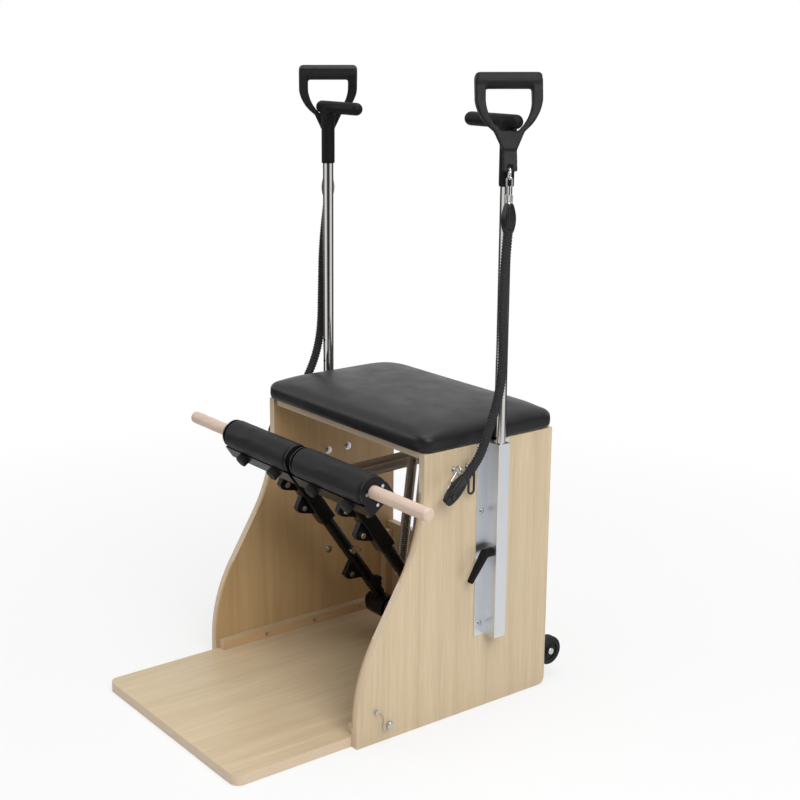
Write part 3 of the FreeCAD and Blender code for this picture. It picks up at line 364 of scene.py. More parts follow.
def surfaced(tree, shader, colour, roughness, height, strength, depth):
    """Link a shader's colour, roughness and bump."""
    bump = add_node(tree, "ShaderNodeBump", {"Height": height, "Strength": strength, "Distance": depth})
    tree.links.new(colour, shader.inputs["Base Color"])
    tree.links.new(roughness, shader.inputs["Roughness"])
    tree.links.new(bump.outputs["Normal"], shader.inputs["Normal"])


def shared_group(name, inputs, outputs):
    """A new node group with its sockets, and the sockets of its two ends."""
    group = bpy.data.node_groups.new(name, "ShaderNodeTree")
    for way, sockets in (("INPUT", inputs), ("OUTPUT", outputs)):
        for label, kind in sockets.items():
            group.interface.new_socket(label, in_out=way, socket_type="NodeSocket" + kind)
    start = group.nodes.new("NodeGroupInput")
    end = group.nodes.new("NodeGroupOutput")
    return group, start.outputs, end.inputs


def wood_streaks():
    """Shared streaks of wood: broad bands, pores and fibres along the stretched axis."""
    if "wood streaks" in bpy.data.node_groups:
        return bpy.data.node_groups["wood streaks"]
    group, given, result = shared_group(
        "wood streaks", {"Vector": "Vector", "Light": "Color", "Dark": "Color", "Fibre": "Float"},
        {"Color": "Color", "Height": "Float"})
    bands = noise(group, given["Vector"], 0.8, 2.0, distortion=0.6)
    pores = noise(group, given["Vector"], 3.2, 5.0, roughness=0.62)
    fibres = noise(group, given["Vector"], 11.0, 3.0)
    weighted = worked(group, "MULTIPLY", fibres, given["Fibre"])
    summed = worked(group, "ADD", worked(group, "ADD", bands, pores), weighted)
    share = spread(group, summed, 0.0, 1.0, 1.02, 1.72)
    group.links.new(mixed(group, share, given["Dark"], given["Light"]), result["Color"])
    group.links.new(share, result["Height"])
    return group


def fine_grain():
    """Shared fine surface: pebbles of moulded or coated skins, with slow changes in gloss."""
    if "fine grain" in bpy.data.node_groups:
        return bpy.data.node_groups["fine grain"]
    group, given, result = shared_group(
        "fine grain", {"Vector": "Vector", "Size": "Float", "Gloss low": "Float", "Gloss high": "Float"},
        {"Height": "Float", "Roughness": "Float", "Mottle": "Float"})
    cells = add_node(group, "ShaderNodeTexVoronoi", {"Vector": given["Vector"], "Scale": given["Size"]},
                     feature="SMOOTH_F1")
    slow = noise(group, given["Vector"], 22.0, 4.0)
    gloss = spread(group, slow, given["Gloss low"], given["Gloss high"], 0.3, 0.7)
    group.links.new(cells.outputs["Distance"], result["Height"])
    group.links.new(gloss, result["Roughness"])
    group.links.new(slow, result["Mottle"])
    return group


def wood(tree, stretch, light, dark):
    """The streaks' colour and height between a light and a dark wood."""
    streaks = add_node(tree, "ShaderNodeGroup", {"Vector": object_points(tree, stretch), "Fibre": 0.7,
                                                 "Light": light, "Dark": dark}, node_tree=wood_streaks())
    return streaks.outputs["Color"], streaks.outputs["Height"]


def board_finish(name, stretch, wide_axis):
    """Laminate with fine streaks on its wide faces, a plain band on its edges and painted shade on its inner
    faces, darker and warmer.
    """
    material, tree, shader = blank_finish(name)
    streaks, height = wood(tree, stretch, colour_of("board_light"), colour_of("board_dark"))
    coordinates = add_node(tree, "ShaderNodeTexCoord")
    normal = split(tree, coordinates.outputs["Normal"])
    spot = split(tree, coordinates.outputs["Object"])
    edge = worked(tree, "LESS_THAN", worked(tree, "ABSOLUTE", normal[wide_axis]), 0.5)
    flecks = noise(tree, object_points(tree, (160, 60, 60)), 4.0, 4.0)
    plain = colour_of("edge_band")
    band = mixed(tree, spread(tree, flecks, 0.2, 0.8), plain, shaded(plain, 0.86))
    # Painted shade: faces that look towards the chair's middle are multiplied darker and warmer, for the
    # shade and warm bounce light between the panels
    inner = worked(tree, "LESS_THAN", worked(tree, "MULTIPLY", spot["X"], normal["X"]), -0.02)
    colour = mixed(tree, inner, mixed(tree, edge, streaks, band), painted_inner_shade, "MULTIPLY")
    surfaced(tree, shader, colour, spread(tree, height, 0.36, 0.48), height, 0.12, 0.0004)
    return material


def dowel_finish(name):
    """Pale beech with short flecks along its length."""
    beech = colour_of("dowel_wood")
    material, tree, shader = blank_finish(name)
    streaks, height = wood(tree, (7, 130, 130), shaded(beech, 1.06), shaded(beech, 0.86))
    short = object_points(tree, (90, 420, 420))
    cells = add_node(tree, "ShaderNodeTexVoronoi", {"Vector": short, "Scale": 1.0})
    flecks = spread(tree, worked(tree, "LESS_THAN", cells.outputs["Distance"], 0.16), 0.0, 0.35)
    colour = mixed(tree, flecks, streaks, shaded(beech, 0.72))
    surfaced(tree, shader, colour, spread(tree, height, 0.45, 0.56), height, 0.10, 0.0003)
    return material


def skin_finish(name, colour, pebbles, gloss, depth, shine):
    """A coated, moulded or padded skin with pebbles of one size and a range of gloss."""
    material, tree, shader = blank_finish(name)
    inputs = {"Vector": object_points(tree), "Size": pebbles, "Gloss low": gloss[0], "Gloss high": gloss[1]}
    grain = add_node(tree, "ShaderNodeGroup", inputs, node_tree=fine_grain()).outputs
    shader.inputs["Specular IOR Level"].default_value = shine
    plain = colour_of(colour)
    mottled = mixed(tree, spread(tree, grain["Mottle"], 0.0, 0.6), plain, shaded(plain, 1.5))
    surfaced(tree, shader, mottled, grain["Roughness"], grain["Height"], 0.35, depth)
    return material


def metal_finish(name, colour, gloss, stretch, depth):
    """Bare metal with drawn or brushed lines along the stretched axis."""
    material, tree, shader = blank_finish(name)
    shader.inputs["Metallic"].default_value = 1.0
    lines = noise(tree, object_points(tree, stretch), 1.0, 4.0)
    drawn = mixed(tree, lines, shaded(colour, 0.9), colour)
    surfaced(tree, shader, drawn, spread(tree, lines, *gloss), lines, 0.15, depth)
    return material


def two_part_finish(name, black_parts):
    """Chrome hardware whose loops and end pieces are black; a function gives their mask."""
    material, tree, shader = blank_finish(name)
    coordinates = add_node(tree, "ShaderNodeTexCoord")
    black = black_parts(tree, split(tree, coordinates.outputs["Object"]))
    smears = noise(tree, coordinates.outputs["Object"], 260.0, 2.0)
    colour = mixed(tree, black, mixed(tree, smears, hardware_dim, hardware_bright), hardware_black)
    tree.links.new(worked(tree, "SUBTRACT", 1.0, black), shader.inputs["Metallic"])
    surfaced(tree, shader, colour, spread(tree, black, 0.14, 0.42), smears, 0.05, 0.0002)
    return material


def below_loop(tree, spot):
    """The parts of a hand grip's clip below its ring."""
    return worked(tree, "LESS_THAN", spot["Z"], black_below)


def strap_end_or_spare(tree, spot):
    """The strap ends on the panels and the spare clip behind them."""
    end = worked(tree, "GREATER_THAN", worked(tree, "ABSOLUTE", spot["X"]), black_outside)
    return worked(tree, "MAXIMUM", end, worked(tree, "GREATER_THAN", spot["Y"], black_behind))


def elastic_finish(name):
    """Gathered woven elastic: dull, with a close rib along the strap."""
    material, tree, shader = blank_finish(name)
    rib = noise(tree, object_points(tree, (900, 900, 260)), 1.0, 3.0)
    colour = mixed(tree, rib, elastic_dark, elastic_light)
    surfaced(tree, shader, colour, spread(tree, rib, 0.72, 0.92), rib, 0.5, 0.0008)
    return material


# Laminates: how the streaks are stretched, and the axis that a wide face looks along
laminates = {
    "upright laminate": ((46, 46, 1.6), "X"),
    "level laminate": ((46, 1.6, 46), "Z"),
    "cross laminate": ((1.6, 46, 46), "Z"),
    "back laminate": ((46, 46, 1.6), "Y"),
}

# Skins: colour, pebbles, range of roughness, depth of the pebbles and strength of the shine
skins = {
    "vinyl": ("vinyl", 620.0, (0.34, 0.44), 0.0004, 0.30),
    "pad vinyl": ("vinyl", 620.0, (0.44, 0.56), 0.0004, 0.20),
    "powder coat": ((0.0035, 0.0035, 0.004, 1), 900.0, (0.24, 0.34), 0.0001, 0.18),
    "tray paint": ((0.006, 0.006, 0.0065, 1), 900.0, (0.28, 0.40), 0.0001, 0.20),
    "moulded black": ("grip", 760.0, (0.46, 0.60), 0.0003, 0.15),
    "grip rubber": ((0.011, 0.011, 0.0125, 1), 760.0, (0.42, 0.56), 0.0003, 0.20),
    "strap leather": ((0.006, 0.006, 0.0065, 1), 700.0, (0.26, 0.38), 0.0003, 0.35),
    "rubber": ((0.012, 0.012, 0.012, 1), 500.0, (0.60, 0.75), 0.0004, 0.30),
    "bush plastic": ((0.05, 0.05, 0.055, 1), 400.0, (0.28, 0.36), 0.0001, 0.30),
}

# Metals: colour, range of roughness, how the drawn lines are stretched, and their depth
metals = {
    "chrome": ((0.64, 0.64, 0.65, 1), (0.10, 0.22), (180, 180, 180), 0.0001),
    "dull zinc": ((0.58, 0.58, 0.58, 1), (0.18, 0.30), (260, 260, 260), 0.0001),
    "polished tube": ((0.70, 0.68, 0.66, 1), (0.06, 0.14), (300, 300, 3), 0.00004),
    "brushed aluminium": ((0.75, 0.77, 0.80, 1), (0.26, 0.40), (700, 700, 3), 0.0002),
    "cross rod": ((0.50, 0.49, 0.48, 1), (0.18, 0.30), (3, 300, 300), 0.0001),
    "spring steel": ((0.32, 0.275, 0.24, 1), (0.26, 0.40), (240, 240, 240), 0.0002),
    "thin wire": ((0.42, 0.41, 0.40, 1), (0.25, 0.40), (400, 400, 400), 0.0001),
    "clip wire": ((0.26, 0.16, 0.09, 1), (0.28, 0.42), (400, 400, 400), 0.0001),
}

# Chrome hardware: the function that finds its black parts
hardware = {
    "grip hardware": (below_loop,),
    "strap hardware": (strap_end_or_spare,),
}

finish_kinds = ((board_finish, laminates), (skin_finish, skins), (metal_finish, metals),
                (two_part_finish, hardware), (dowel_finish, {"beech": ()}), (elastic_finish, {"elastic": ()}))
finishes = {}


def finish(name):
    """The finish of that name, made on its first use."""
    if name not in finishes:
        maker, table = next(kind for kind in finish_kinds if name in kind[1])
        finishes[name] = maker(name, *table[name])
    return finishes[name]


def both(*names):
    """The nodes of those names on both sides."""
    return [side + "_" + name for name in names for side in sides]


# Which solid keeps its shape and takes which finish
solid_finishes = {
    "upright laminate": both("side_panel"),
    "level laminate": ["base_board"] + both("batten"),
    "cross laminate": ["seat_board"],
    "back laminate": ["back_board", "back_cleats"],
    "beech": ["dowel"],
    "powder coat": ["pivot_stand", "shaft_collars", "wheel_brackets"] + both(
        "arm_sleeve", "arm_tube", "pivot_hub", "hook_brackets"),
    "tray paint": both("pedal_base"),
    "rubber": both("bumpers", "wheel"),
    "bush plastic": both("hub_bushes"),
    "dull zinc": ["frame_fasteners"],
    "chrome": ["panel_eyes", "wheel_axles"] + both("pedal_bolts", "lock_pin"),
    "polished tube": both("post"),
    "brushed aluminium": both("post_bracket"),
    "cross rod": ["pivot_axle", "spring_bars"],
    "grip hardware": both("hand_clip"),
    "strap hardware": ["strap_hooks"],
}


def block(name, low, high):
    """A plain block between two corners, ready to be worked on."""
    clear_selection()
    bpy.ops.mesh.primitive_cube_add(size=1, location=(low + high) / 2)
    piece = named(name)
    piece.scale = high - low
    return settle(piece)


def rod(name, vertices, radius, depth, middle, turn=(0, 0, 0)):
    """A plain rod about a middle point, ready to be worked on."""
    clear_selection()
    bpy.ops.mesh.primitive_cylinder_add(vertices=vertices, radius=radius, depth=depth, location=middle,
                                        rotation=turn)
    return settle(named(name))


def stuff(piece, voxel, held, pressure, limit, frames=20, bending=60, tension=4):
    """Fill a closed cover with stuffing: the held points stay, the others swell up to a limit."""
    finish_with(piece, "REMESH", mode="VOXEL", voxel_size=voxel)
    rest = [point.co.copy() for point in piece.data.vertices]
    pins = piece.vertex_groups.new(name="held")
    pins.add([i for i, co in enumerate(rest) if held(co)], 1.0, "REPLACE")
    cloth = piece.modifiers.new("stuffing", "CLOTH")
    cloth.settings.vertex_group_mass = "held"
    cloth.settings.bending_stiffness = bending
    cloth.settings.tension_stiffness = tension
    cloth.settings.use_pressure = True
    cloth.settings.uniform_pressure_force = pressure
    cloth.settings.effector_weights.gravity = 0
    cloth.point_cache.frame_end = frames
    scene = bpy.context.scene
    for step in range(1, frames + 1):
        scene.frame_set(step)
    shaped = piece.evaluated_get(bpy.context.evaluated_depsgraph_get()).data
    moved = [point.co.copy() for point in shaped.vertices]
    piece.modifiers.remove(cloth)
    furthest = max((end - start).length for start, end in zip(rest, moved))
    share = min(1.0, limit / furthest)
    for point, start, end in zip(piece.data.vertices, rest, moved):
        point.co = start.lerp(end, share)
    piece.vertex_groups.remove(pins)
    scene.frame_set(1)


def soften(piece, rounds):
    """Smooth a whole piece."""
    finish_with(piece, "SMOOTH", iterations=rounds, factor=0.5)


def copied_solid(name, node):
    """A separate, merged copy of a solid, for a softer version of the same piece."""
    source = frame["nodes"][node]
    copy = source.copy()
    copy.data = source.data.copy()
    copy.name = name
    copy.data.name = name
    for key in list(copy.keys()):
        del copy[key]
    bpy.context.scene.collection.objects.link(copy)
    copy.parent = None
    copy.matrix_world = Matrix.Identity(4)
    edit_all(copy, bpy.ops.mesh.remove_doubles, threshold=same_place)
    return copy


def moulded(name, node, body, voxel, rounds, finish_name, ease=None):
    """The moulded look of a solid: the same shape with every edge rounded."""
    piece = copied_solid(name, node)
    finish_with(piece, "REMESH", mode="VOXEL", voxel_size=voxel)
    if ease:
        ease(piece)
    soften(piece, rounds)
    smooth(piece, 60)
    dress(piece, finish_name)
    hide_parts(node)
    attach(piece, body)


def round_bar_ends(piece, bar=0.013, radius=0.009):
    """Round the upper corners of a hand grip's bar."""
    points = [point.co for point in piece.data.vertices]
    top = max(point.z for point in points)
    upper = [point for point in points if point.z > top - bar]
    middle = sum(upper, Vector()) / len(upper)
    wide = sum((point.x - middle.x) ** 2 - (point.y - middle.y) ** 2 for point in upper)
    skew = sum((point.x - middle.x) * (point.y - middle.y) for point in upper)
    turn = math.atan2(2 * skew, wide) / 2
    along = Vector((math.cos(turn), math.sin(turn), 0))
    across = Vector((-along.y, along.x, 0))
    half = max(abs((point - middle).dot(along)) for point in upper)
    axis = top - bar
    for point in points:
        inwards = half - abs((point - middle).dot(along))
        if point.z < axis or inwards > radius:
            continue
        short = (radius - max(inwards, 0)) / radius
        share = (bar - radius + radius * math.sqrt(max(1 - short * short, 0))) / bar
        aside = (point - middle).dot(across)
        point.z = axis + (point.z - axis) * share
        point -= across * (aside * (1 - share))


def rounded_end(name, middle, along, size):
    """A stitched strap end: a flat rounded pad along a line, narrower by its taper towards the far end."""
    length, wide, thin, taper = size
    least, trim, groove, groove_depth, root = 0.45, 0.08, 0.2, 0.8, 1.05
    piece = block(name, Vector((-thin, -wide, -length / 2)), Vector((thin, wide, length / 2)))
    edit_all(piece, bpy.ops.mesh.subdivide, number_cuts=3)
    for point in piece.data.vertices:
        share = point.co.z / length + 0.5
        full = least + (1 - least) * math.sin(math.pi * (trim + (1 - 2 * trim) * share))
        if abs(point.co.y) < groove * wide:
            point.co.x *= groove_depth
        point.co.x *= full
        point.co.y *= full * (root - taper * share)
    finish_with(piece, "SUBSURF", levels=2, render_levels=2)
    return place(piece, standing(middle, along))


def route_line(points, resolution):
    """Points along the smooth line that a route's points control."""
    curve = bpy.data.curves.new("route", "CURVE")
    curve.dimensions = "3D"
    curve.resolution_u = resolution
    spline = curve.splines.new("NURBS")
    spline.points.add(len(points) - 1)
    for control, point in zip(spline.points, points):
        control.co = (*point, 1)
    spline.order_u = 3
    spline.use_endpoint_u = True
    holder = bpy.data.objects.new("route", curve)
    bpy.context.scene.collection.objects.link(holder)
    line = bpy.data.meshes.new_from_object(holder.evaluated_get(bpy.context.evaluated_depsgraph_get()))
    found = [point.co.copy() for point in line.vertices]
    bpy.data.objects.remove(holder)
    bpy.data.curves.remove(curve)
    bpy.data.meshes.remove(line)
    return found


def even(length, turn):
    """The size of a wire, the same all along."""
    return 1.0


def tube_along(name, line, wide, thin, around, swell=even):
    """A closed oval tube along a line; swell gives the size at a length and a direction."""
    points = []
    faces = []
    travelled = 0.0
    for i, here in enumerate(line):
        ahead = line[min(i + 1, len(line) - 1)]
        behind = line[max(i - 1, 0)]
        along = (ahead - behind).normalized()
        across = along.cross(x_axis).normalized()
        out = across.cross(along).normalized()
        if i:
            travelled += (here - line[i - 1]).length
        for k in range(around):
            turn = 2 * math.pi * k / around
            size = swell(travelled, turn)
            sideways = across * (wide * size * math.cos(turn))
            points.append(here + sideways + out * (thin * size * math.sin(turn)))
    last = (len(line) - 1) * around
    for ring in range(0, last, around):
        for k in range(around):
            n = (k + 1) % around
            faces.append((ring + k, ring + n, ring + around + n, ring + around + k))
    faces.append(tuple(reversed(range(around))))
    faces.append(tuple(range(last, last + around)))
    mesh = bpy.data.meshes.new(name)
    mesh.from_pydata(points, [], faces)
    piece = bpy.data.objects.new(name, mesh)
    bpy.context.scene.collection.objects.link(piece)
    edit_all(piece, bpy.ops.mesh.normals_make_consistent, inside=False)
    return piece


class CHAIR_OT_finishes(bpy.types.Operator):
    """Give every solid that keeps its shape its finish, and ease the boards' edges"""

    bl_idname = "chair.finishes"
    bl_label = "Finish the solids"

    def execute(self, context):
        for finish_name, nodes in solid_finishes.items():
            for node in nodes:
                piece = frame["nodes"][node]
                piece.data.materials.clear()
                piece.data.materials.append(finish(finish_name))
                if finish_name not in laminates:
                    continue
                weld = piece.modifiers.new("weld", "WELD")
                weld.merge_threshold = same_place
                ease = piece.modifiers.new("ease", "BEVEL")
                ease.width = context.scene.chair_sizes.edge_ease
                ease.segments = 2
                ease.limit_method = "ANGLE"
                ease.angle_limit = math.radians(50)
        return {"FINISHED"}


class CHAIR_OT_seat_cushion(bpy.types.Operator):
    """Model the padded seat: a crowned cover with round corners, flat only where it rests on its board"""

    bl_idname = "chair.seat_cushion"
    bl_label = "Seat cushion"

    def execute(self, context):
        sizes = context.scene.chair_sizes
        low, high = (Vector(corner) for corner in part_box("seat_cushion"))
        low += Vector((0.0, -0.002, 0.0004))
        high += Vector((0.0, 0.002, -0.0045))
        middle = (low + high) / 2
        half = (high - low) / 2
        lower_roll, held_rim, voxel, pressure = 0.004, 0.003, 0.005, 4.0
        cushion = block("seat_cover", low, high)
        round_edges(cushion, lambda a, b: abs(a.z - b.z) > half.z, sizes.cushion_corner, 9)
        round_edges(cushion, lambda a, b: min(a.z, b.z) > high.z - same_place, sizes.cushion_roll, 9)
        round_edges(cushion, lambda a, b: max(a.z, b.z) < low.z + same_place, lower_roll, 3)
        stuff(cushion, voxel, lambda co: co.z < low.z + held_rim, pressure, sizes.cushion_swell)
        soften(cushion, 10)
        for point in cushion.data.vertices:
            aside = abs(point.co.x - middle.x)
            ahead = abs(point.co.y - middle.y)
            raised = (point.co.z - middle.z) / half.z
            if raised > 0:
                crown = max(1 - (aside / half.x) ** 2, 0) * max(1 - (ahead / half.y) ** 2, 0)
                rim_x = max(1 - (half.x - aside) / sizes.cushion_shoulder, 0)
                rim_y = max(1 - (half.y - ahead) / sizes.cushion_shoulder, 0)
                rim = min(rim_x ** 2 + rim_y ** 2, 1)
                point.co.z += sizes.cushion_dome * crown - sizes.cushion_drop * rim * raised
            point.co.z = max(point.co.z, low.z)
        finish_with(cushion, "SUBSURF", levels=1, render_levels=1)
        smooth(cushion, 80)
        dress(cushion, "vinyl")
        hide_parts("seat_cushion")
        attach(cushion, "frame")
        return {"FINISHED"}


class CHAIR_OT_pedal_pads(bpy.types.Operator):
    """Model the two D-section pedal pads between their end plates, bored for the dowel"""

    bl_idname = "chair.pedal_pads"
    bl_label = "Pedal pads"

    def execute(self, context):
        sizes = context.scene.chair_sizes
        inner, outer = 0.0122, 0.2578
        half, under, crown = 0.035, 0.5343, 0.574
        shoulder, end_roll, bore_radius, bore_length = 0.0335, 0.009, 0.0148, 0.4
        long_edge, upper_edge, not_under = 0.2, under + 0.02, under + 0.001
        held_rim, voxel, pressure = 0.002, 0.0036, 3.0

        def runs_along_top(a, b):
            return abs(a.x - b.x) > long_edge and min(a.z, b.z) > upper_edge

        def rims_an_end(a, b):
            return abs(a.x - b.x) < same_place and max(a.z, b.z) > not_under

        for side, sign in sides.items():
            ends = sorted((inner * sign, outer * sign))
            low = Vector((ends[0], -half, under))
            high = Vector((ends[1], half, crown))
            pad = block(side + "_pad_cover", low, high)
            round_edges(pad, runs_along_top, shoulder, 12)
            round_edges(pad, rims_an_end, end_roll, 5)
            stuff(pad, voxel, lambda co: co.z < under + held_rim, pressure, sizes.pad_swell)
            soften(pad, 2)
            for point in pad.data.vertices:
                point.co.x = min(max(point.co.x, ends[0]), ends[1])
                point.co.z = max(point.co.z, under)
            bore = rod("bore", 48, bore_radius, bore_length, (sum(ends) / 2, 0, dowel_height),
                       (0, math.pi / 2, 0))
            finish_with(pad, "BOOLEAN", operation="DIFFERENCE", object=bore, solver="EXACT")
            bpy.data.objects.remove(bore)
            place(pad, pedal_place)
            smooth(pad, 50)
            dress(pad, "pad vinyl")
            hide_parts(side + "_pad")
            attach(pad, "pedal_" + side)
        return {"FINISHED"}


def wound_spring(name, start, end, start_pin, end_pin, sizes):
    """A close-wound spring between two bars, with a hook round each."""
    length = (end - start).length
    coil, wire, hook, hook_gap = 0.0097, 0.0036, 0.0034, 0.0003
    lead, cone = 0.026, 0.009
    wound = length - 2 * lead
    turns = int(wound / sizes.coil_pitch)
    clear_selection()
    bpy.ops.mesh.primitive_circle_add(vertices=8, radius=wire / 2, fill_type="NOTHING",
                                      location=(coil, 0, lead), rotation=(math.pi / 2, 0, 0))
    winding = settle(named(name))
    finish_with(winding, "SCREW", axis="Z", angle=2 * math.pi, screw_offset=wound / turns, iterations=turns,
                steps=sizes.coil_steps, render_steps=sizes.coil_steps, use_merge_vertices=True)
    parts = [winding]
    for z, way, pin in ((0.0, 1, start_pin), (length, -1, end_pin)):
        ring = pin + hook_gap + hook / 2
        clear_selection()
        bpy.ops.mesh.primitive_torus_add(major_radius=ring, minor_radius=hook / 2, major_segments=28,
                                         minor_segments=8, location=(0, 0, z), rotation=(0, math.pi / 2, 0))
        parts.append(settle(named("hook")))
        near = z + way * (ring + hook / 4)
        far = z + way * lead
        parts.append(rod("stem", 12, hook / 2, abs(far - near), (0, 0, (near + far) / 2)))
        clear_selection()
        bpy.ops.mesh.primitive_cone_add(vertices=24, radius1=coil - wire / 4, radius2=hook / 2, depth=cone,
                                        location=(0, 0, z + way * (lead - cone / 2)),
                                        rotation=(0 if way < 0 else math.pi, 0, 0))
        parts.append(settle(named("end_cone")))
    piece = join(name, parts)
    edit_all(piece, bpy.ops.mesh.normals_make_consistent, inside=False)
    return place(piece, standing(start, end - start))


class CHAIR_OT_springs(bpy.types.Operator):
    """Wind the pedals' springs between the arm pins and the spring bars"""

    bl_idname = "chair.springs"
    bl_label = "Springs"

    def execute(self, context):
        sizes = context.scene.chair_sizes
        bar_radius, pin_radius = 0.006, 0.005
        for side, sign in sides.items():
            for label, aside in (("outer", 0.021), ("inner", -0.021)):
                x = sign * (arm_out + aside)
                pin = pedal_place @ Vector((x, pin_ahead, pin_heights[side]))
                bar = Vector((x, *bar_places[side]))
                piece = wound_spring(side + "_spring_" + label, bar, pin, bar_radius, pin_radius, sizes)
                smooth(piece, 60)
                dress(piece, "spring steel")
                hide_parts(side + "_springs")
                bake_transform(piece)
        return {"FINISHED"}


class CHAIR_OT_wire_clips(bpy.types.Operator):
    """Bend the wire clips that hold the pedals' spring pins"""

    bl_idname = "chair.wire_clips"
    bl_label = "Wire clips"

    def execute(self, context):
        for side, sign in sides.items():
            for label, height in zip(("low", "high"), sorted(pin_heights.values())):
                route = []
                for ahead, aside in clip_bend:
                    y = pin_ahead + clip_lift + ahead * math.cos(clip_slope) - aside * math.sin(clip_slope)
                    z = height + ahead * math.sin(clip_slope) + aside * math.cos(clip_slope)
                    route.append((sign * arm_out + clip_aside, y, z))
                line = route_line(route, 10)
                clip = tube_along(side + "_wire_clip_" + label, line, clip_wire, clip_wire, 8)
                place(clip, pedal_place)
                smooth(clip, 60)
                dress(clip, "clip wire")
                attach(clip, "pedal_" + side)
        return {"FINISHED"}


class CHAIR_OT_straps(bpy.types.Operator):
    """Hang the gathered elastic straps with their stitched ends from the hand grips to the panels' chains"""

    bl_idname = "chair.straps"
    bl_label = "Elastic straps"

    def execute(self, context):
        sizes = context.scene.chair_sizes
        half = sizes.strap_width / 2
        full, ruffle, flat_side, thickness = 1.04, 0.12, 0.35, 0.8

        def gathers(length, turn):
            wave = math.sin(2 * math.pi * length / sizes.ruffle_pitch)
            return full + ruffle * wave * (flat_side + (1 - flat_side) * math.cos(turn) ** 2)

        for side, sign in sides.items():
            head = Vector(strap_routes[side][0]) + head_rise
            foot = Vector(strap_routes[side][-1]) + Vector((sign * foot_in, *foot_drop))
            upper = rounded_end(side + "_strap_head", head, z_axis, head_size)
            lower = rounded_end(side + "_strap_foot", foot, foot_way, foot_size)
            for piece, body in ((upper, "post_" + side), (lower, "frame")):
                smooth(piece, 60)
                dress(piece, "strap leather")
                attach(piece, body)
            line = route_line(strap_routes[side], 64)
            strap = tube_along(side + "_elastic_strap", line, half, half * thickness, 16, gathers)
            smooth(strap, 60)
            dress(strap, "elastic")
            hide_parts(side + "_strap")
            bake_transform(strap)
        return {"FINISHED"}


class CHAIR_OT_lanyards(bpy.types.Operator):
    """Run the thin wire from each lock pin to its screw"""

    bl_idname = "chair.lanyards"
    bl_label = "Lock pin lanyards"

    def execute(self, context):
        diameter = 0.0018
        for side, sign in sides.items():
            line = route_line([(sign * x, y, z) for x, y, z in lanyard_route], 12)
            wire = tube_along(side + "_lock_wire", line, diameter / 2, diameter / 2, 8)
            smooth(wire, 60)
            dress(wire, "thin wire")
            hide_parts("lock_lanyards")
            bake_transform(wire)
        return {"FINISHED"}


class CHAIR_OT_grips(bpy.types.Operator):
    """Mould the hand grips, T-grips and star knobs with round edges"""

    bl_idname = "chair.grips"
    bl_label = "Grips and knobs"

    def execute(self, context):
        grip_voxel, knob_voxel = 0.0022, 0.0011
        for side in sides:
            post = "post_" + side
            knob = "star_knob_" + side
            moulded(side + "_d_grip", side + "_hand_grip", post, grip_voxel, 10, "grip rubber",
                    round_bar_ends)
            moulded(side + "_t_handle", side + "_t_grip", post, grip_voxel, 5, "moulded black")
            moulded(side + "_knob", side + "_star_knob", knob, knob_voxel, 4, "moulded black")
        return {"FINISHED"}


class CHAIR_OT_levers(bpy.types.Operator):
    """Model the clamp levers: a round hub on the rail and a flat paddle that tapers towards its tip"""

    bl_idname = "chair.levers"
    bl_label = "Clamp levers"

    def execute(self, context):
        level = (math.pi / 2, 0, 0)
        hub_radius, hub_depth, hub_roll = 0.0095, 0.022, 0.0022
        hub_place = Vector((0, -0.0115, 0))
        stud_radius, stud_depth = 0.004, 0.006
        stud_place = Vector((0, 0.0005, 0))
        root_place = Vector((0, -0.015, 0.006))
        tip_place = Vector((0, 0.004, 0.003))
        paddle = Vector((0.0085, 0.0055, 0))
        root_width, width_loss, root_thickness, thickness_loss = 1.12, 0.42, 1.1, 0.35
        for side, sign in sides.items():
            low = Vector(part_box(side + "_clamp_lever")[0])
            middle = sign * post_out
            axis = Vector((middle, rail_face, lever_height))
            hub = rod("lever_hub", 32, hub_radius, hub_depth, axis + hub_place, level)
            round_edges(hub, lambda a, b: abs(a.y - b.y) < same_place, hub_roll, 3)
            stud = rod("lever_stud", 20, stud_radius, stud_depth, axis + stud_place, level)
            root = axis + root_place
            tip = Vector((middle, low.y, low.z)) + tip_place
            length = (tip - root).length
            arm = block("lever_arm", -paddle, paddle + Vector((0, 0, length)))
            edit_all(arm, bpy.ops.mesh.subdivide, number_cuts=4)
            for point in arm.data.vertices:
                share = point.co.z / length
                point.co.x *= root_width - width_loss * share
                point.co.y *= root_thickness - thickness_loss * share
            finish_with(arm, "SUBSURF", levels=2, render_levels=2)
            place(arm, standing(root, tip - root))
            lever = join(side + "_lever", [hub, stud, arm])
            smooth(lever, 50)
            dress(lever, "moulded black")
            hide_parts(side + "_clamp_lever")
            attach(lever, "clamp_lever_" + side)
        return {"FINISHED"}


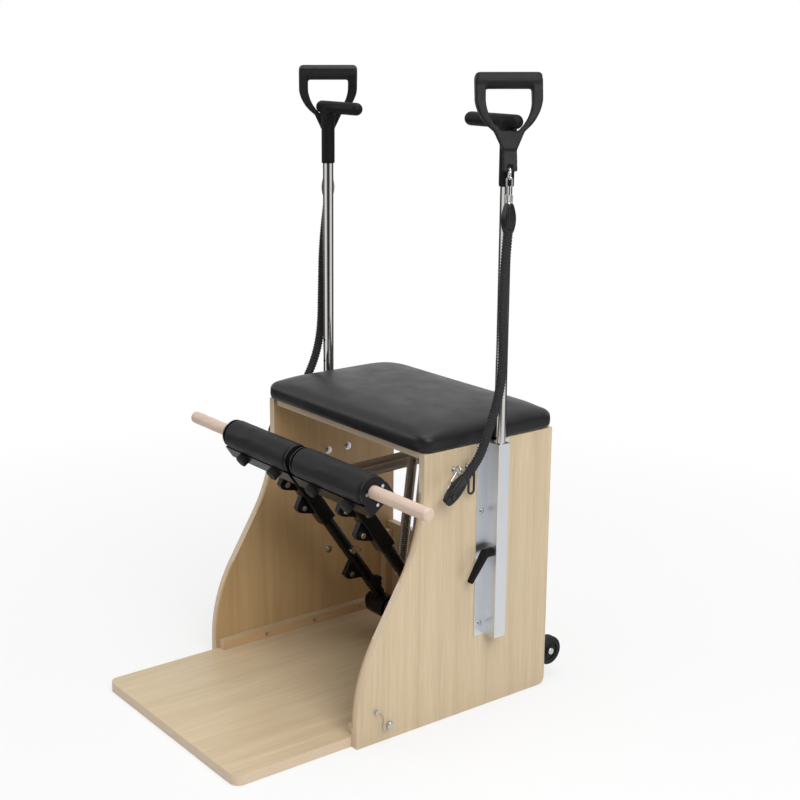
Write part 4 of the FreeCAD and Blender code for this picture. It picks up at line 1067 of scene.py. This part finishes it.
def floor_finish():
    """A pale floor, white far off, with bright cards beyond the object that only mirrors see."""
    material, tree, shader = blank_finish("pale floor")
    tree.nodes.remove(shader)
    matt = add_node(tree, "ShaderNodeBsdfDiffuse", {"Color": floor_grey})
    glow = add_node(tree, "ShaderNodeEmission", {"Color": white, "Strength": 1.0})
    path = add_node(tree, "ShaderNodeLightPath").outputs
    points = add_node(tree, "ShaderNodeTexCoord").outputs["Object"]
    away = add_node(tree, "ShaderNodeVectorMath", {0: points}, operation="LENGTH").outputs["Value"]
    spot = split(tree, points)
    three_fold = worked(tree, "MULTIPLY_ADD", worked(tree, "ARCTAN2", spot["Y"], spot["X"]), 3.0, 1.88)
    bright = spread(tree, worked(tree, "COSINE", three_fold), 0.95, 0.04, -0.7, 0.5)
    cards = add_node(tree, "ShaderNodeEmission", {"Color": white, "Strength": bright})
    mirrored = worked(tree, "MULTIPLY", path["Is Glossy Ray"], spread(tree, away, 0.0, 1.0, 2.0, 2.6))
    faded = worked(tree, "MULTIPLY", path["Is Camera Ray"], spread(tree, away, 0.72, 1.0, 0.6, 2.2))
    lit = add_node(tree, "ShaderNodeMixShader", {0: mirrored, 1: matt.outputs[0], 2: cards.outputs[0]})
    seen = add_node(tree, "ShaderNodeMixShader", {0: faded, 1: lit.outputs[0], 2: glow.outputs[0]})
    tree.links.new(seen.outputs[0], tree.nodes["Material Output"].inputs["Surface"])
    return material


def white_room():
    """A world that is white to the camera, dim to the pieces, and brighter behind the object to mirrors."""
    world = bpy.data.worlds.new("white room")
    world.use_nodes = True
    tree = world.node_tree
    path = add_node(tree, "ShaderNodeLightPath").outputs
    around = add_node(tree, "ShaderNodeTexCoord").outputs["Generated"]
    behind = add_node(tree, "ShaderNodeVectorMath", {0: around, 1: back_way}, operation="DOT_PRODUCT")
    sweep = spread(tree, behind.outputs["Value"], 0.14, 0.85, -0.35, 0.55)
    mirrored = switched(tree, path["Is Glossy Ray"], 0.26, sweep)
    ground = tree.nodes["Background"]
    ground.inputs["Color"].default_value = white
    tree.links.new(switched(tree, path["Is Camera Ray"], mirrored, 1.0), ground.inputs["Strength"])
    return world


class CHAIR_OT_stage(bpy.types.Operator):
    """Set the pale floor, the soft lamps and the camera"""

    bl_idname = "chair.stage"
    bl_label = "Stage"

    def execute(self, context):
        clear_selection()
        bpy.ops.mesh.primitive_plane_add(size=floor_size, location=floor_place)
        floor = settle(named("stage_floor"))
        floor.data.materials.append(floor_finish())
        context.scene.world = white_room()
        for name, (start, size, power) in lamps.items():
            bpy.ops.object.light_add(type="AREA", location=start)
            lamp = bpy.context.object
            lamp.name = "lamp_" + name
            lamp.data.size = size
            lamp.data.energy = power
            lamp.visible_camera = False
            lamp.rotation_euler = facing(Vector(start), lamp_target)
        bpy.ops.object.camera_add(location=camera_place)
        camera = bpy.context.object
        camera.rotation_euler = facing(camera_place, camera_target)
        camera.data.sensor_width = 36
        camera.data.lens = 64.76
        camera.data.shift_x = 0.0738
        camera.data.shift_y = -0.0505
        camera.data.clip_end = 100
        context.scene.camera = camera
        context.scene.view_settings.view_transform = "Standard"
        return {"FINISHED"}


class CHAIR_PT_panel(bpy.types.Panel):
    """The chair's settings, and its pieces in the order in which they are made"""

    bl_idname = "CHAIR_PT_panel"
    bl_label = "Pilates chair"
    bl_space_type = "VIEW_3D"
    bl_region_type = "UI"
    bl_category = "Chair"

    def draw(self, context):
        for group in (context.scene.chair_sizes, context.scene.chair_colours):
            box = self.layout.box()
            for key in group.__annotations__:
                box.prop(group, key)
        for operator in operators:
            self.layout.operator(operator.bl_idname)


operators = (CHAIR_OT_finishes, CHAIR_OT_seat_cushion, CHAIR_OT_pedal_pads, CHAIR_OT_springs,
             CHAIR_OT_wire_clips, CHAIR_OT_straps, CHAIR_OT_lanyards, CHAIR_OT_grips, CHAIR_OT_levers,
             CHAIR_OT_stage)
classes = (ChairSizes, ChairColours) + operators + (CHAIR_PT_panel,)


def register():
    for item in classes:
        bpy.utils.register_class(item)
    bpy.types.Scene.chair_sizes = PointerProperty(type=ChairSizes)
    bpy.types.Scene.chair_colours = PointerProperty(type=ChairColours)


def unregister():
    del bpy.types.Scene.chair_colours
    del bpy.types.Scene.chair_sizes
    for item in reversed(classes):
        bpy.utils.unregister_class(item)


def main():
    register()
    bpy.ops.chair.finishes()
    bpy.ops.chair.seat_cushion()
    bpy.ops.chair.pedal_pads()
    bpy.ops.chair.springs()
    bpy.ops.chair.wire_clips()
    bpy.ops.chair.straps()
    bpy.ops.chair.lanyards()
    bpy.ops.chair.grips()
    bpy.ops.chair.levers()
    bpy.ops.chair.stage()
    clear_selection()


if __name__ == "__main__":
    main()
